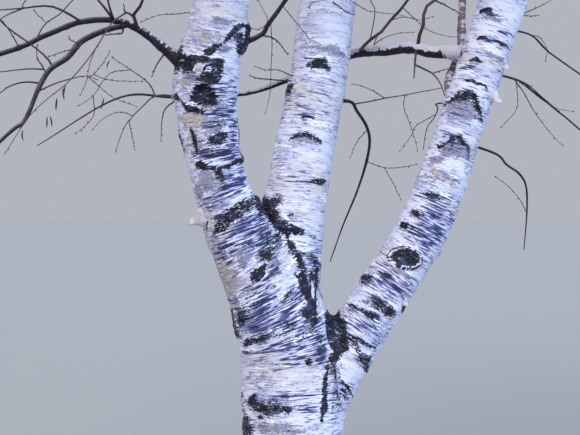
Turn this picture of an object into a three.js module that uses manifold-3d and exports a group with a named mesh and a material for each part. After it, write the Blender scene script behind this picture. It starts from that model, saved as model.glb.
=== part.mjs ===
// A white birch with one short trunk that forks into three stems, bare in late autumn.
// Millimetres, +Z up, +X to the right of someone facing the fork, +Y away from them.
// The origin is the middle of the trunk's flat cut at ground level.

import * as THREE from "three";
import { mergeVertices } from "three/addons/utils/BufferGeometryUtils.js";
import Module from "manifold-3d";

// Courses of the stems: rows of [height, to the right, away, radius] that a smooth line passes through.
const LEADER = [
  [0, 0, 0, 172],
  [260, 0, 0, 164],
  [640, -4, 0, 158],
  [1004, -10, 0, 162],
  [1234, -16, -2, 163],
  [1340, -38, -8, 154],
  [1468, -94, -20, 128],
  [1596, -160, -32, 106],
  [1708, -206, -38, 95],
  [1830, -246, -44, 88],
  [1950, -272, -48, 88],
  [2098, -286, -50, 101],
  [2188, -277, -52, 99],
  [2290, -252, -56, 93],
  [2396, -237, -62, 90],
  [3200, -196, -130, 84],
  [4500, -340, -350, 71],
  [6500, -720, -660, 53],
  [8500, -1010, -860, 33],
  [10300, -1150, -950, 15],
  [11300, -1180, -980, 4],
];
const MIDDLE = [
  [1250, -20, 34, 88],
  [1404, -24, 46, 100],
  [1590, -20, 62, 102],
  [1708, -6, 76, 101],
  [1804, 6, 87, 99],
  [1922, 26, 99, 95],
  [2159, 72, 124, 94],
  [2396, 106, 150, 95],
  [3200, 225, 290, 88],
  [4500, 345, 540, 77],
  [6500, 345, 850, 59],
  [8500, 270, 1030, 40],
  [10500, 230, 1090, 21],
  [12200, 260, 1110, 5],
];
const RIGHT = [
  [1030, 34, -8, 68],
  [1116, 80, -12, 78],
  [1190, 118, -14, 83],
  [1285, 170, -16, 86],
  [1436, 263, -14, 87],
  [1590, 364, -10, 84],
  [1692, 416, -8, 84],
  [1804, 463, -6, 82],
  [1922, 503, -5, 76],
  [2159, 586, -2, 74],
  [2396, 664, 0, 74],
  [3200, 910, -30, 70],
  [4500, 1250, -70, 60],
  [6500, 1620, -50, 44],
  [8500, 1850, 30, 27],
  [9900, 1940, 70, 11],
  [10600, 1960, 80, 4],
];

// Where the free stems begin, on flat cuts just above the crotches.
const LEADER_CUT = 1890;
const MIDDLE_CUT = 1880;
const RIGHT_CUT = 1480;

// Root flare: how far the roots' shoulders swell past the trunk at the ground, and how fast that fades.
const FLARE = 62;
const FLARE_FADE = 150;
const ROOT_LOBES = 5;
const LOBE_SHARE = 0.42;

// Clearance between a limb and what carries it.
const GAP = 0.34;
const TIP_RADIUS = 1.6;

// How finely each kind of limb is faceted: sides round it and rings along it.
const FACETS = {
  trunk: { sides: 20, rings: 20 },
  foot: { sides: 14, rings: 7 },
  stem: { sides: 10, rings: 21 },
  lowBough: { sides: 6, rings: 12 },
  crownBough: { sides: 6, rings: 8 },
};

// Low boughs, each a list of [right, away, height, radius] from inside the stem that carries it to its tip.
const LOW_BOUGHS = [
  {
    name: "bough_left_low",
    carrier: "stem_left",
    path: [
      [-314, -70, 2145, 19],
      [-406, -95, 2223, 14.5],
      [-485, -120, 2282, 12.5],
      [-561, -150, 2307, 10],
      [-656, -190, 2296, 9],
      [-755, -230, 2250, 8.5],
      [-882, -280, 2187, 8],
      [-1300, -400, 2060, 6],
      [-1900, -560, 1740, TIP_RADIUS],
    ],
  },
  {
    name: "bough_left_low_fork",
    carrier: "bough_left_low",
    path: [
      [-523, -135, 2296, 8.5],
      [-591, -168, 2272, 9.2],
      [-653, -200, 2235, 9.4],
      [-689, -230, 2184, 9],
      [-737, -260, 2143, 8.4],
      [-765, -290, 2084, 7.4],
      [-800, -330, 1983, 6.4],
      [-861, -370, 1921, 5.6],
      [-1180, -500, 1560, TIP_RADIUS],
    ],
  },
  {
    name: "bough_left_inner",
    carrier: "stem_left",
    path: [
      [-244, -50, 2225, 9],
      [-118, -30, 2276, 8],
      [-86, -34, 2316, 7.4],
      [-30, -46, 2392, 7],
      [70, -80, 2540, 6],
      [240, -200, 2860, 5],
      [470, -420, 3300, TIP_RADIUS],
    ],
  },
  {
    name: "bough_behind_stems",
    carrier: "stem_right",
    path: [
      [604, 6, 2226, 21],
      [503, 75, 2240, 20.5],
      [443, 110, 2245, 21],
      [383, 150, 2266, 20.5],
      [308, 205, 2262, 18.5],
      [190, 295, 2259, 16],
      [-30, 390, 2183, 10.5],
      [-185, 412, 2136, 7.5],
      [-427, 400, 2124, 5],
      [-622, 385, 2119, 3.6],
      [-905, 370, 1950, TIP_RADIUS],
    ],
  },
  {
    name: "bough_right_upright",
    carrier: "stem_right",
    path: [
      [548, 40, 1990, 15],
      [503, 104, 2125, 14.5],
      [522, 132, 2195, 14],
      [549, 152, 2275, 13.5],
      [556, 172, 2425, 13],
      [590, 250, 2950, 11],
      [660, 380, 3700, 7.5],
      [700, 500, 4500, TIP_RADIUS],
    ],
  },
  {
    name: "bough_middle_hanging",
    carrier: "stem_middle",
    path: [
      [76, 116, 2078, 6.5],
      [177, 152, 2086, 5.8],
      [204, 162, 2054, 5.4],
      [236, 176, 2006, 5.2],
      [248, 190, 1956, 5],
      [237, 206, 1883, 4.4],
      [206, 226, 1784, 3.4],
      [162, 242, 1676, 2.6],
      [117, 252, 1549, TIP_RADIUS],
    ],
  },
  {
    name: "bough_right_lower",
    carrier: "stem_right",
    path: [
      [512, 2, 1948, 5.2],
      [653, 90, 1909, 4],
      [693, 110, 1874, 4],
      [739, 130, 1844, 3.6],
      [765, 150, 1801, 3.2],
      [771, 170, 1715, 2.6],
      [765, 190, 1591, TIP_RADIUS],
    ],
  },
  {
    name: "bough_right_low",
    carrier: "stem_right",
    path: [
      [590, 4, 2172, 4.6],
      [725, 80, 2148, 3.7],
      [777, 110, 2118, 3.3],
      [830, 140, 2083, 3.1],
      [887, 170, 2044, 2.9],
      [947, 200, 2002, 2.8],
      [1400, 330, 1640, TIP_RADIUS],
    ],
  },
  {
    name: "bough_right_high",
    carrier: "stem_right",
    path: [
      [632, 2, 2306, 4.4],
      [756, 60, 2296, 3.3],
      [821, 90, 2248, 3],
      [896, 120, 2201, 2.8],
      [1500, 380, 1850, TIP_RADIUS],
    ],
  },
];

// The crown's boughs: per stem, how many, between which heights, and the heading of the first, in degrees.
const CROWN = [
  { side: "left", course: LEADER, count: 16, lowest: 2620, highest: 10350, start: 212 },
  { side: "middle", course: MIDDLE, count: 17, lowest: 2700, highest: 11250, start: 80 },
  { side: "right", course: RIGHT, count: 13, lowest: 2660, highest: 9700, start: 350 },
];
const TURN = 137.5; // degrees from one bough to the next round its stem
const FAN = 0.8; // share of the full circle that a stem's boughs use, the rest faces the other stems
const HEIGHT_SPREAD = 0.92; // under 1 crowds the boughs towards the top
// Reach by height, and how far the tip climbs for each millimetre of reach, by height.
const REACH = [[2600, 2050], [3800, 2500], [5200, 2450], [7200, 1850], [9200, 1150], [11300, 480]];
const RISE = [[2600, 0.16], [4200, 0.26], [6500, 0.5], [9000, 0.85], [11300, 1.15]];
const REACH_VARIES = [0.82, 1.12]; // shortest and longest bough, against the table
const RISE_VARIES = [0.8, 1.2];
const SWAY = 0.25; // radians that a bough may have turned aside by its tip
const WANDER = 0.025; // how far it may stray from its line, as a share of its reach
const BOUGH_SHARE = 0.3; // bough radius as a share of its stem's
const THICKEST_BOUGH = 24;

// A crown bough's arch: rows of [share of the reach, rise over the reach, share of the climb, of the radius].
const ARCH = [
  [0, 0, 0, 1],
  [0.24, 0.3, 0.12, 0.8],
  [0.5, 0.36, 0.42, 0.55],
  [0.77, 0.26, 0.8, 0.32],
  [1, 0, 1, 0],
];

// A number between low and high that is always the same for the same seed.
function between(low, high, seed) {
  const wide = Math.sin(seed * 12.9898 + 4.1414) * 43758.5453;
  return low + (high - low) * (wide - Math.floor(wide));
}

// The value at x of the straight-line table of [x, value] pairs.
function lookUp(table, x) {
  const next = table.findIndex(([at]) => at > x);
  if (next === 0) return table[0][1];
  if (next < 0) return table.at(-1)[1];
  const [[x0, v0], [x1, v1]] = [table[next - 1], table[next]];
  return v0 + ((v1 - v0) * (x - x0)) / (x1 - x0);
}

// Smooth values through the rows at the knots, by cubic Hermite pieces.
function smoothAt(knots, rows, at) {
  const last = knots.length - 1;
  const i = Math.min(Math.max(knots.findIndex((k) => k > at) - 1, 0), last - 1);
  const piece = at >= knots[last] ? last - 1 : i;
  const slope = (n, column) => {
    const [low, high] = [Math.max(n - 1, 0), Math.min(n + 1, last)];
    return (rows[high][column] - rows[low][column]) / (knots[high] - knots[low]);
  };
  const width = knots[piece + 1] - knots[piece];
  const t = (at - knots[piece]) / width;
  const [t2, t3] = [t * t, t * t * t];
  return rows[piece].map(
    (value, column) =>
      (2 * t3 - 3 * t2 + 1) * value +
      (t3 - 2 * t2 + t) * width * slope(piece, column) +
      (3 * t2 - 2 * t3) * rows[piece + 1][column] +
      (t3 - t2) * width * slope(piece + 1, column),
  );
}

// [right, away, height, radius] of a stem at a height.
function stemAt(course, height) {
  const rows = course.map(([z, x, y, r]) => [x, y, z, r]);
  return smoothAt(course.map(([z]) => z), rows, height);
}

// A limb's line between two of its own knots, with its radius along the way.
class LimbLine extends THREE.Curve {
  constructor(rowAt, from, to) {
    super();
    this.rowAt = (t) => rowAt(from + (to - from) * t);
  }
  getPoint(t) {
    const [x, y, z] = this.rowAt(t);
    return new THREE.Vector3(x, y, z);
  }
  radiusAt(t) {
    return this.rowAt(t)[3];
  }
}

const stemLine = (course, from, to) => new LimbLine((z) => stemAt(course, z), from, to);

function boughLine(path) {
  const knots = path.map((_, i) => i);
  return new LimbLine((at) => smoothAt(knots, path, at), 0, path.length - 1);
}

// How far the trunk's surface swells at a height, towards its root shoulders.
function rootSwell(height, angle) {
  const fade = Math.exp(-height / FLARE_FADE);
  return FLARE * fade * (1 + LOBE_SHARE * Math.cos(ROOT_LOBES * angle + 0.6) + 0.2 * Math.cos(2 * angle - 1));
}

// A closed tapered limb: a cylinder whose rings are laid along the line, widened by grow and by extra().
function limbGeometry(line, { sides, rings }, grow = 0, extra = () => 0) {
  const made = new THREE.CylinderGeometry(1, 1, 1, sides, rings);
  const frames = line.computeFrenetFrames(rings, false);
  const place = made.attributes.position;
  const spot = new THREE.Vector3();
  for (let i = 0; i < place.count; i++) {
    const ring = Math.round((place.getY(i) + 0.5) * rings);
    const [across, along] = [place.getX(i), place.getZ(i)];
    const t = line.getUtoTmapping(ring / rings);
    const centre = line.getPoint(t);
    spot.copy(centre);
    if (Math.hypot(across, along) > 0.5) {
      const out = frames.normals[ring]
        .clone()
        .multiplyScalar(across)
        .addScaledVector(frames.binormals[ring], along);
      const size = line.radiusAt(t) + grow + extra(centre, Math.atan2(out.y, out.x));
      spot.addScaledVector(out, size);
    }
    place.setXYZ(i, spot.x, spot.y, spot.z);
  }
  made.deleteAttribute("normal");
  made.deleteAttribute("uv");
  return mergeVertices(made, 1e-4);
}

const wasm = await Module();
wasm.setup();

// The mesh as a manifold solid, its faces turned out if the line's frames had them turned in.
function solidOf(geometry) {
  const triVerts = new Uint32Array(geometry.index.array);
  const make = () =>
    new wasm.Manifold(
      new wasm.Mesh({ numProp: 3, vertProperties: geometry.attributes.position.array, triVerts }),
    );
  const made = make();
  if (made.volume() > 0) return made;
  for (let i = 0; i < triVerts.length; i += 3)
    [triVerts[i + 1], triVerts[i + 2]] = [triVerts[i + 2], triVerts[i + 1]];
  return make();
}

const biggest = (solid) =>
  solid.decompose().reduce((best, body) => (body.volume() > best.volume() ? body : best));

const BARK = {
  white: { color: 0xdcdae6, roughness: 0.75 },
  dark: { color: 0x3a3138, roughness: 0.8 },
};
const tree = new THREE.Group();

function addSolid(name, solid, bark) {
  const mesh = solid.getMesh();
  const geometry = new THREE.BufferGeometry()
    .setAttribute("position", new THREE.BufferAttribute(new Float32Array(mesh.vertProperties), 3))
    .setIndex(new THREE.BufferAttribute(mesh.triVerts, 1));
  geometry.computeVertexNormals();
  const piece = new THREE.Mesh(geometry, new THREE.MeshStandardMaterial({ ...bark, metalness: 0 }));
  piece.name = name;
  tree.add(piece);
}

// The trunk, from the ground to just above the two crotches, with the foot of each stem on it.
function trunkSolid() {
  const leader = stemLine(LEADER, 0, LEADER_CUT);
  const flared = limbGeometry(leader, FACETS.trunk, 0, (centre, angle) => rootSwell(centre.z, angle));
  const middleFoot = limbGeometry(stemLine(MIDDLE, MIDDLE[0][0], MIDDLE_CUT), FACETS.foot);
  const rightFoot = limbGeometry(stemLine(RIGHT, RIGHT[0][0], RIGHT_CUT), FACETS.foot);
  return solidOf(flared).add(solidOf(middleFoot)).add(solidOf(rightFoot));
}

// Every limb that carries others, by name, so that what grows on it can be cut to its surface.
const limbs = new Map();

function addStem(name, course, cut) {
  const line = stemLine(course, cut + GAP, course.at(-1)[0]);
  limbs.set(name, { line, facets: FACETS.stem });
  addSolid(name, solidOf(limbGeometry(line, FACETS.stem)), BARK.white);
}

function addBough(name, carrier, path, facets) {
  const line = boughLine(path);
  limbs.set(name, { line, facets });
  const host = limbs.get(carrier);
  const room = GAP / Math.cos(Math.PI / host.facets.sides);
  const around = solidOf(limbGeometry(host.line, host.facets, room));
  addSolid(name, biggest(solidOf(limbGeometry(line, facets)).subtract(around)), BARK.dark);
}

// The middle of the three stems at a height, where they all reach it.
function crownMiddle(height) {
  const courses = [LEADER, MIDDLE, RIGHT];
  const reached = courses.map((course) => stemAt(course, Math.min(height, course.at(-1)[0])));
  return [0, 1].map((axis) => reached.reduce((sum, row) => sum + row[axis], 0) / reached.length);
}

// The path of a crown bough: it climbs away from its stem and arches over, and a low one droops at its end.
function crownPath(group, index) {
  const seed = group.start + index * 7;
  const share = (index / (group.count - 1)) ** HEIGHT_SPREAD;
  const foot = stemAt(group.course, group.lowest + (group.highest - group.lowest) * share);
  const [x, y, z, stemRadius] = foot;
  const middle = crownMiddle(z);
  const outward = Math.atan2(y - middle[1], x - middle[0]);
  const round = ((((group.start + index * TURN) % 360) + 540) % 360) - 180;
  const heading = outward + (round * FAN * Math.PI) / 180;
  const reach = lookUp(REACH, z) * between(...REACH_VARIES, seed);
  const climb = lookUp(RISE, z) * between(...RISE_VARIES, seed + 1);
  const sway = between(-SWAY, SWAY, seed + 2);
  const radius = Math.min(THICKEST_BOUGH, stemRadius * BOUGH_SHARE);
  return ARCH.map(([out, rise, climbed, thick]) => {
    const turn = heading + sway * out;
    const wander = out > 0 ? between(-WANDER, WANDER, seed + 3 + out) * reach : 0;
    return [
      x + Math.cos(turn) * reach * out - Math.sin(turn) * wander,
      y + Math.sin(turn) * reach * out + Math.cos(turn) * wander,
      z + reach * (rise + climb * climbed),
      Math.max(radius * thick, TIP_RADIUS),
    ];
  });
}

addSolid("trunk", trunkSolid(), BARK.white);
addStem("stem_left", LEADER, LEADER_CUT);
addStem("stem_middle", MIDDLE, MIDDLE_CUT);
addStem("stem_right", RIGHT, RIGHT_CUT);
for (const { name, carrier, path } of LOW_BOUGHS) addBough(name, carrier, path, FACETS.lowBough);
for (const group of CROWN)
  for (let i = 0; i < group.count; i++) {
    const name = `bough_${group.side}_` + String(i + 1).padStart(2, "0");
    addBough(name, `stem_${group.side}`, crownPath(group, i), FACETS.crownBough);
  }

export default tree;
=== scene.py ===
# A white birch, bare in late autumn: white bark with black scars, dark boughs and drooping twigs.
# Metres, in the part's own frame: +Z up, +X to the right of someone facing the fork, +Y away from them.
import math

import bpy
import numpy as np
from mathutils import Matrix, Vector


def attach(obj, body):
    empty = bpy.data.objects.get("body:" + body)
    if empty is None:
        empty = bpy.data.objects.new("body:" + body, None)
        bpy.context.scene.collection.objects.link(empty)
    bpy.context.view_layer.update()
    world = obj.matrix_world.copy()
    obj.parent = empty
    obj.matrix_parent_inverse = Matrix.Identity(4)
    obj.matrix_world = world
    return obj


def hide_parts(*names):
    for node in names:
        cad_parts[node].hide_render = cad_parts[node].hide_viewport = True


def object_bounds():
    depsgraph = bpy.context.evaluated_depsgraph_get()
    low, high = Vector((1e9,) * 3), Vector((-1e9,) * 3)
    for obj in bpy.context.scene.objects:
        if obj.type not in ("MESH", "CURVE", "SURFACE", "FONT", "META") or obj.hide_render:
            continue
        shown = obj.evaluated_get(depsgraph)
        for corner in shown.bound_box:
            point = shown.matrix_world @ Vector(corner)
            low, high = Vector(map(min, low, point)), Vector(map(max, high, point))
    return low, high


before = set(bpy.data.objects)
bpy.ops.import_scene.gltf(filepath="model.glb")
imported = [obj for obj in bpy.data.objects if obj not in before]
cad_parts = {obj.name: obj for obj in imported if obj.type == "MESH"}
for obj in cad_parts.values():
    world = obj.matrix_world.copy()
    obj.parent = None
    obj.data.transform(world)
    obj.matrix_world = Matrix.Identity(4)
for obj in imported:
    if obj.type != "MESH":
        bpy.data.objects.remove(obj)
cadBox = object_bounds()
tau = 2 * math.pi
print("frame loaded:", len(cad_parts), "solids")

# How the photograph sees the tree: where the eye is, and what one pixel measures at the fork, 4 m from it.
photo = {
    "eye": np.array([-0.019, -4.0, 1.7]),
    "metresPerPixel": 0.0032,
    "middlePixel": (290, 217.5),
    "sensor": 36.0,
    "width": 580,
    "clear": 0.3,  # what is nearer to the eye than this isn't in the picture
    "depths": (-0.3, 0.45, 300),  # where a pixel's ray is searched for a stem, and in how many steps
}


def pixelSize(away):
    # What a pixel measures at a distance past the fork's plane.
    return (away - photo["eye"][1]) / -photo["eye"][1] * photo["metresPerPixel"]


def fromPhoto(px, py, away):
    # The point that shows at a pixel, at a given distance past the fork's plane.
    x = photo["eye"][0] + (px - photo["middlePixel"][0]) * pixelSize(away)
    z = photo["eye"][2] + (photo["middlePixel"][1] - py) * pixelSize(away)
    return np.array([x, away, z])


def toPhoto(points):
    size = pixelSize(points[..., 1])
    px = photo["middlePixel"][0] + (points[..., 0] - photo["eye"][0]) / size
    py = photo["middlePixel"][1] - (points[..., 2] - photo["eye"][2]) / size
    return px, py


def inPicture(points, margin):
    px, py = toPhoto(points)
    ahead = points[..., 1] > photo["eye"][1] + photo["clear"]
    middle = photo["middlePixel"]
    return ahead & (abs(px - middle[0]) < middle[0] + margin) & (abs(py - middle[1]) < middle[1] + margin)


def unit(vectors):
    return vectors / np.maximum(np.linalg.norm(vectors, axis=-1, keepdims=True), 1e-12)


def rowDot(a, b):
    return np.sum(a * b, axis=-1)


def ease(low, high, value):
    # 0 at low, 1 at high, with a soft start and end.
    t = np.clip((value - low) / (high - low), 0, 1)
    return t * t * (3 - 2 * t)


def between(low, high, seed):
    # A number between low and high that is always the same for the same seed.
    wide = math.sin(seed * 12.9898 + 4.1414) * 43758.5453
    return low + (high - low) * (wide - math.floor(wide))


def grain(points, seed):
    # Smooth noise from -1 to 1, with a new value about every whole step. Large odd numbers mix the cells.
    cell = np.floor(points).astype(np.int64)
    share = points - cell
    share = share * share * (3 - 2 * share)
    total = np.zeros(len(points))
    for corner in np.ndindex(2, 2, 2):
        at = cell + corner
        mixed = at[:, 0] * 73856093 ^ at[:, 1] * 19349663 ^ at[:, 2] * 83492791 ^ seed * 2654435761
        mixed = (mixed ^ (mixed >> 13)) * 1274126177
        value = ((mixed ^ (mixed >> 16)) & 0xFFFF) / 0x7FFF - 1
        total += value * np.prod(np.where(corner, share, 1 - share), axis=1)
    return total


def smoothAt(knots, rows, at):
    # Smooth values through the rows at their knots, by cubic Hermite pieces.
    knots, rows, at = (np.asarray(values, float) for values in (knots, rows, at))
    at = np.atleast_1d(at)
    last = len(knots) - 1
    low, high = np.maximum(np.arange(last + 1) - 1, 0), np.minimum(np.arange(last + 1) + 1, last)
    slopes = (rows[high] - rows[low]) / (knots[high] - knots[low])[:, None]
    piece = np.clip(np.searchsorted(knots, at, side="right") - 1, 0, last - 1)
    width = (knots[piece + 1] - knots[piece])[:, None]
    t = (at - knots[piece])[:, None] / width
    return (
        (2 * t**3 - 3 * t**2 + 1) * rows[piece]
        + (t**3 - 2 * t**2 + t) * width * slopes[piece]
        + (3 * t**2 - 2 * t**3) * rows[piece + 1]
        + (t**3 - t**2) * width * slopes[piece + 1]
    )


# The stems' courses, as the solids have them: rows of height, to the right, away, radius.
courses = {
    "left": [
        (0, 0, 0, 0.172), (0.26, 0, 0, 0.164), (0.64, -0.004, 0, 0.158), (1.004, -0.01, 0, 0.162),
        (1.234, -0.016, -0.002, 0.163), (1.34, -0.038, -0.008, 0.154), (1.468, -0.094, -0.02, 0.128),
        (1.596, -0.16, -0.032, 0.106), (1.708, -0.206, -0.038, 0.095), (1.83, -0.246, -0.044, 0.088),
        (1.95, -0.272, -0.048, 0.088), (2.098, -0.286, -0.05, 0.101), (2.188, -0.277, -0.052, 0.099),
        (2.29, -0.252, -0.056, 0.093), (2.396, -0.237, -0.062, 0.09), (3.2, -0.196, -0.13, 0.084),
        (4.5, -0.34, -0.35, 0.071), (6.5, -0.72, -0.66, 0.053), (8.5, -1.01, -0.86, 0.033),
        (10.3, -1.15, -0.95, 0.015), (11.3, -1.18, -0.98, 0.004),
    ],
    "middle": [
        (1.25, -0.02, 0.034, 0.088), (1.404, -0.024, 0.046, 0.1), (1.59, -0.02, 0.062, 0.102),
        (1.708, -0.006, 0.076, 0.101), (1.804, 0.006, 0.087, 0.099), (1.922, 0.026, 0.099, 0.095),
        (2.159, 0.072, 0.124, 0.094), (2.396, 0.106, 0.15, 0.095), (3.2, 0.225, 0.29, 0.088),
        (4.5, 0.345, 0.54, 0.077), (6.5, 0.345, 0.85, 0.059), (8.5, 0.27, 1.03, 0.04),
        (10.5, 0.23, 1.09, 0.021), (12.2, 0.26, 1.11, 0.005),
    ],
    "right": [
        (1.03, 0.034, -0.008, 0.068), (1.116, 0.08, -0.012, 0.078), (1.19, 0.118, -0.014, 0.083),
        (1.285, 0.17, -0.016, 0.086), (1.436, 0.263, -0.014, 0.087), (1.59, 0.364, -0.01, 0.084),
        (1.692, 0.416, -0.008, 0.084), (1.804, 0.463, -0.006, 0.082), (1.922, 0.503, -0.005, 0.076),
        (2.159, 0.586, -0.002, 0.074), (2.396, 0.664, 0, 0.074), (3.2, 0.91, -0.03, 0.07),
        (4.5, 1.25, -0.07, 0.06), (6.5, 1.62, -0.05, 0.044), (8.5, 1.85, 0.03, 0.027),
        (9.9, 1.94, 0.07, 0.011), (10.6, 1.96, 0.08, 0.004),
    ],
}
cuts = {"left": 1.89, "middle": 1.88, "right": 1.48}  # the flat cuts where the free stems begin
rootFlare = {
    "swell": 0.062, "fade": 0.15,
    "lobes": 5, "lobeShare": 0.42, "lobeTurn": 0.6,
    "ovalShare": 0.2, "ovalTurn": -1,
}
stemStep = 0.004  # a stem's line is sampled this often


def stemAt(side, height):
    rows = np.array(courses[side])
    return smoothAt(rows[:, 0], rows[:, [1, 2, 0, 3]], height)


def layStem(side):
    # A stem's line, closely sampled by height, with the directions to the front and to the right of it.
    course = courses[side]
    heights = np.linspace(course[0][0], course[-1][0], int((course[-1][0] - course[0][0]) / stemStep))
    rows = stemAt(side, heights)
    tangent = unit(np.gradient(rows[:, :3], heights, axis=0))
    front = unit(np.array([0, -1, 0]) - tangent * -tangent[:, 1:2])
    steps = np.linalg.norm(np.diff(rows[:, :3], axis=0), axis=1)
    return {
        "side": side,
        "heights": heights,
        "centre": rows[:, :3],
        "radius": rows[:, 3],
        "tangent": tangent,
        "front": front,
        "right": np.cross(tangent, front),
        "along": heights[0] + np.concatenate([[0], np.cumsum(steps)]),
    }


def pick(line, what, height):
    values = line[what]
    if values.ndim == 1:
        return np.interp(height, line["heights"], values)
    return np.stack([np.interp(height, line["heights"], values[:, i]) for i in range(3)], axis=-1)


def measure(line, points):
    # Where points lie on a stem: height and length along it, angle round it, way out and gap to its surface.
    height = points[:, 2].copy()
    for _ in range(5):  # each round comes closer to the foot of the perpendicular
        centre, tangent = pick(line, "centre", height), pick(line, "tangent", height)
        moved = height + rowDot(points - centre, tangent) * tangent[:, 2]
        height = np.clip(moved, line["heights"][0], line["heights"][-1])
    out = points - pick(line, "centre", height)
    front, right = pick(line, "front", height), pick(line, "right", height)
    radius = pick(line, "radius", height)
    if line["side"] == "left":
        flare, turn = rootFlare, np.arctan2(out[:, 1], out[:, 0])
        lobes = 1 + flare["lobeShare"] * np.cos(flare["lobes"] * turn + flare["lobeTurn"])
        lobes += flare["ovalShare"] * np.cos(2 * turn + flare["ovalTurn"])
        radius = radius + flare["swell"] * np.exp(-height / flare["fade"]) * lobes
    return {
        "height": height,
        "along": pick(line, "along", height),
        "angle": np.arctan2(rowDot(out, right), rowDot(out, front)),
        "outward": unit(out),
        "radius": radius,
        "gap": np.linalg.norm(out, axis=1) - radius,
    }


stems = {side: layStem(side) for side in courses}


# The boughs' paths, as the solids have them: rows of right, away, height, radius.
tipRadius = 0.0016
lowBoughs = {
    "bough_left_low": ("left", [
        (-0.314, -0.07, 2.145, 0.019), (-0.406, -0.095, 2.223, 0.0145), (-0.485, -0.12, 2.282, 0.0125),
        (-0.561, -0.15, 2.307, 0.01), (-0.656, -0.19, 2.296, 0.009), (-0.755, -0.23, 2.25, 0.0085),
        (-0.882, -0.28, 2.187, 0.008), (-1.3, -0.4, 2.06, 0.006), (-1.9, -0.56, 1.74, tipRadius),
    ]),
    "bough_left_low_fork": ("bough_left_low", [
        (-0.523, -0.135, 2.296, 0.0085), (-0.591, -0.168, 2.272, 0.0092), (-0.653, -0.2, 2.235, 0.0094),
        (-0.689, -0.23, 2.184, 0.009), (-0.737, -0.26, 2.143, 0.0084), (-0.765, -0.29, 2.084, 0.0074),
        (-0.8, -0.33, 1.983, 0.0064), (-0.861, -0.37, 1.921, 0.0056), (-1.18, -0.5, 1.56, tipRadius),
    ]),
    "bough_left_inner": ("left", [
        (-0.244, -0.05, 2.225, 0.009), (-0.118, -0.03, 2.276, 0.008), (-0.086, -0.034, 2.316, 0.0074),
        (-0.03, -0.046, 2.392, 0.007), (0.07, -0.08, 2.54, 0.006), (0.24, -0.2, 2.86, 0.005),
        (0.47, -0.42, 3.3, tipRadius),
    ]),
    "bough_behind_stems": ("right", [
        (0.604, 0.006, 2.226, 0.021), (0.503, 0.075, 2.24, 0.0205), (0.443, 0.11, 2.245, 0.021),
        (0.383, 0.15, 2.266, 0.0205), (0.308, 0.205, 2.262, 0.0185), (0.19, 0.295, 2.259, 0.016),
        (-0.03, 0.39, 2.183, 0.0105), (-0.185, 0.412, 2.136, 0.0075), (-0.427, 0.4, 2.124, 0.005),
        (-0.622, 0.385, 2.119, 0.0036), (-0.905, 0.37, 1.95, tipRadius),
    ]),
    "bough_right_upright": ("right", [
        (0.548, 0.04, 1.99, 0.015), (0.503, 0.104, 2.125, 0.0145), (0.522, 0.132, 2.195, 0.014),
        (0.549, 0.152, 2.275, 0.0135), (0.556, 0.172, 2.425, 0.013), (0.59, 0.25, 2.95, 0.011),
        (0.66, 0.38, 3.7, 0.0075), (0.7, 0.5, 4.5, tipRadius),
    ]),
    "bough_middle_hanging": ("middle", [
        (0.076, 0.116, 2.078, 0.0065), (0.177, 0.152, 2.086, 0.0058), (0.204, 0.162, 2.054, 0.0054),
        (0.236, 0.176, 2.006, 0.0052), (0.248, 0.19, 1.956, 0.005), (0.237, 0.206, 1.883, 0.0044),
        (0.206, 0.226, 1.784, 0.0034), (0.162, 0.242, 1.676, 0.0026), (0.117, 0.252, 1.549, tipRadius),
    ]),
    "bough_right_lower": ("right", [
        (0.512, 0.002, 1.948, 0.0052), (0.653, 0.09, 1.909, 0.004), (0.693, 0.11, 1.874, 0.004),
        (0.739, 0.13, 1.844, 0.0036), (0.765, 0.15, 1.801, 0.0032), (0.771, 0.17, 1.715, 0.0026),
        (0.765, 0.19, 1.591, tipRadius),
    ]),
    "bough_right_low": ("right", [
        (0.59, 0.004, 2.172, 0.0046), (0.725, 0.08, 2.148, 0.0037), (0.777, 0.11, 2.118, 0.0033),
        (0.83, 0.14, 2.083, 0.0031), (0.887, 0.17, 2.044, 0.0029), (0.947, 0.2, 2.002, 0.0028),
        (1.4, 0.33, 1.64, tipRadius),
    ]),
    "bough_right_high": ("right", [
        (0.632, 0.002, 2.306, 0.0044), (0.756, 0.06, 2.296, 0.0033), (0.821, 0.09, 2.248, 0.003),
        (0.896, 0.12, 2.201, 0.0028), (1.5, 0.38, 1.85, tipRadius),
    ]),
}
crown = {
    "left": {"count": 16, "lowest": 2.62, "highest": 10.35, "start": 212},
    "middle": {"count": 17, "lowest": 2.7, "highest": 11.25, "start": 80},
    "right": {"count": 13, "lowest": 2.66, "highest": 9.7, "start": 350},
}
crownRule = {
    "turn": 137.5,  # degrees from one bough to the next
    "fan": 0.8,
    "heightSpread": 0.92,
    "seedStep": 7,
    "reach": ((2.6, 3.8, 5.2, 7.2, 9.2, 11.3), (2.05, 2.5, 2.45, 1.85, 1.15, 0.48)),  # by height, in metres
    "rise": ((2.6, 4.2, 6.5, 9.0, 11.3), (0.16, 0.26, 0.5, 0.85, 1.15)),
    "reachVaries": (0.82, 1.12),
    "riseVaries": (0.8, 1.2),
    "sway": 0.25,
    "wander": 0.025,
    "share": 0.3,
    "thickest": 0.024,
    "arch": (  # shares of the reach out and up, of the climb, and of the thickness
        (0, 0, 0, 1), (0.24, 0.3, 0.12, 0.8), (0.5, 0.36, 0.42, 0.55), (0.77, 0.26, 0.8, 0.32), (1, 0, 1, 0),
    ),
}


def crownMiddle(height):
    reached = [stemAt(side, min(height, course[-1][0]))[0] for side, course in courses.items()]
    return np.mean(reached, axis=0)[:2]


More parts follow.
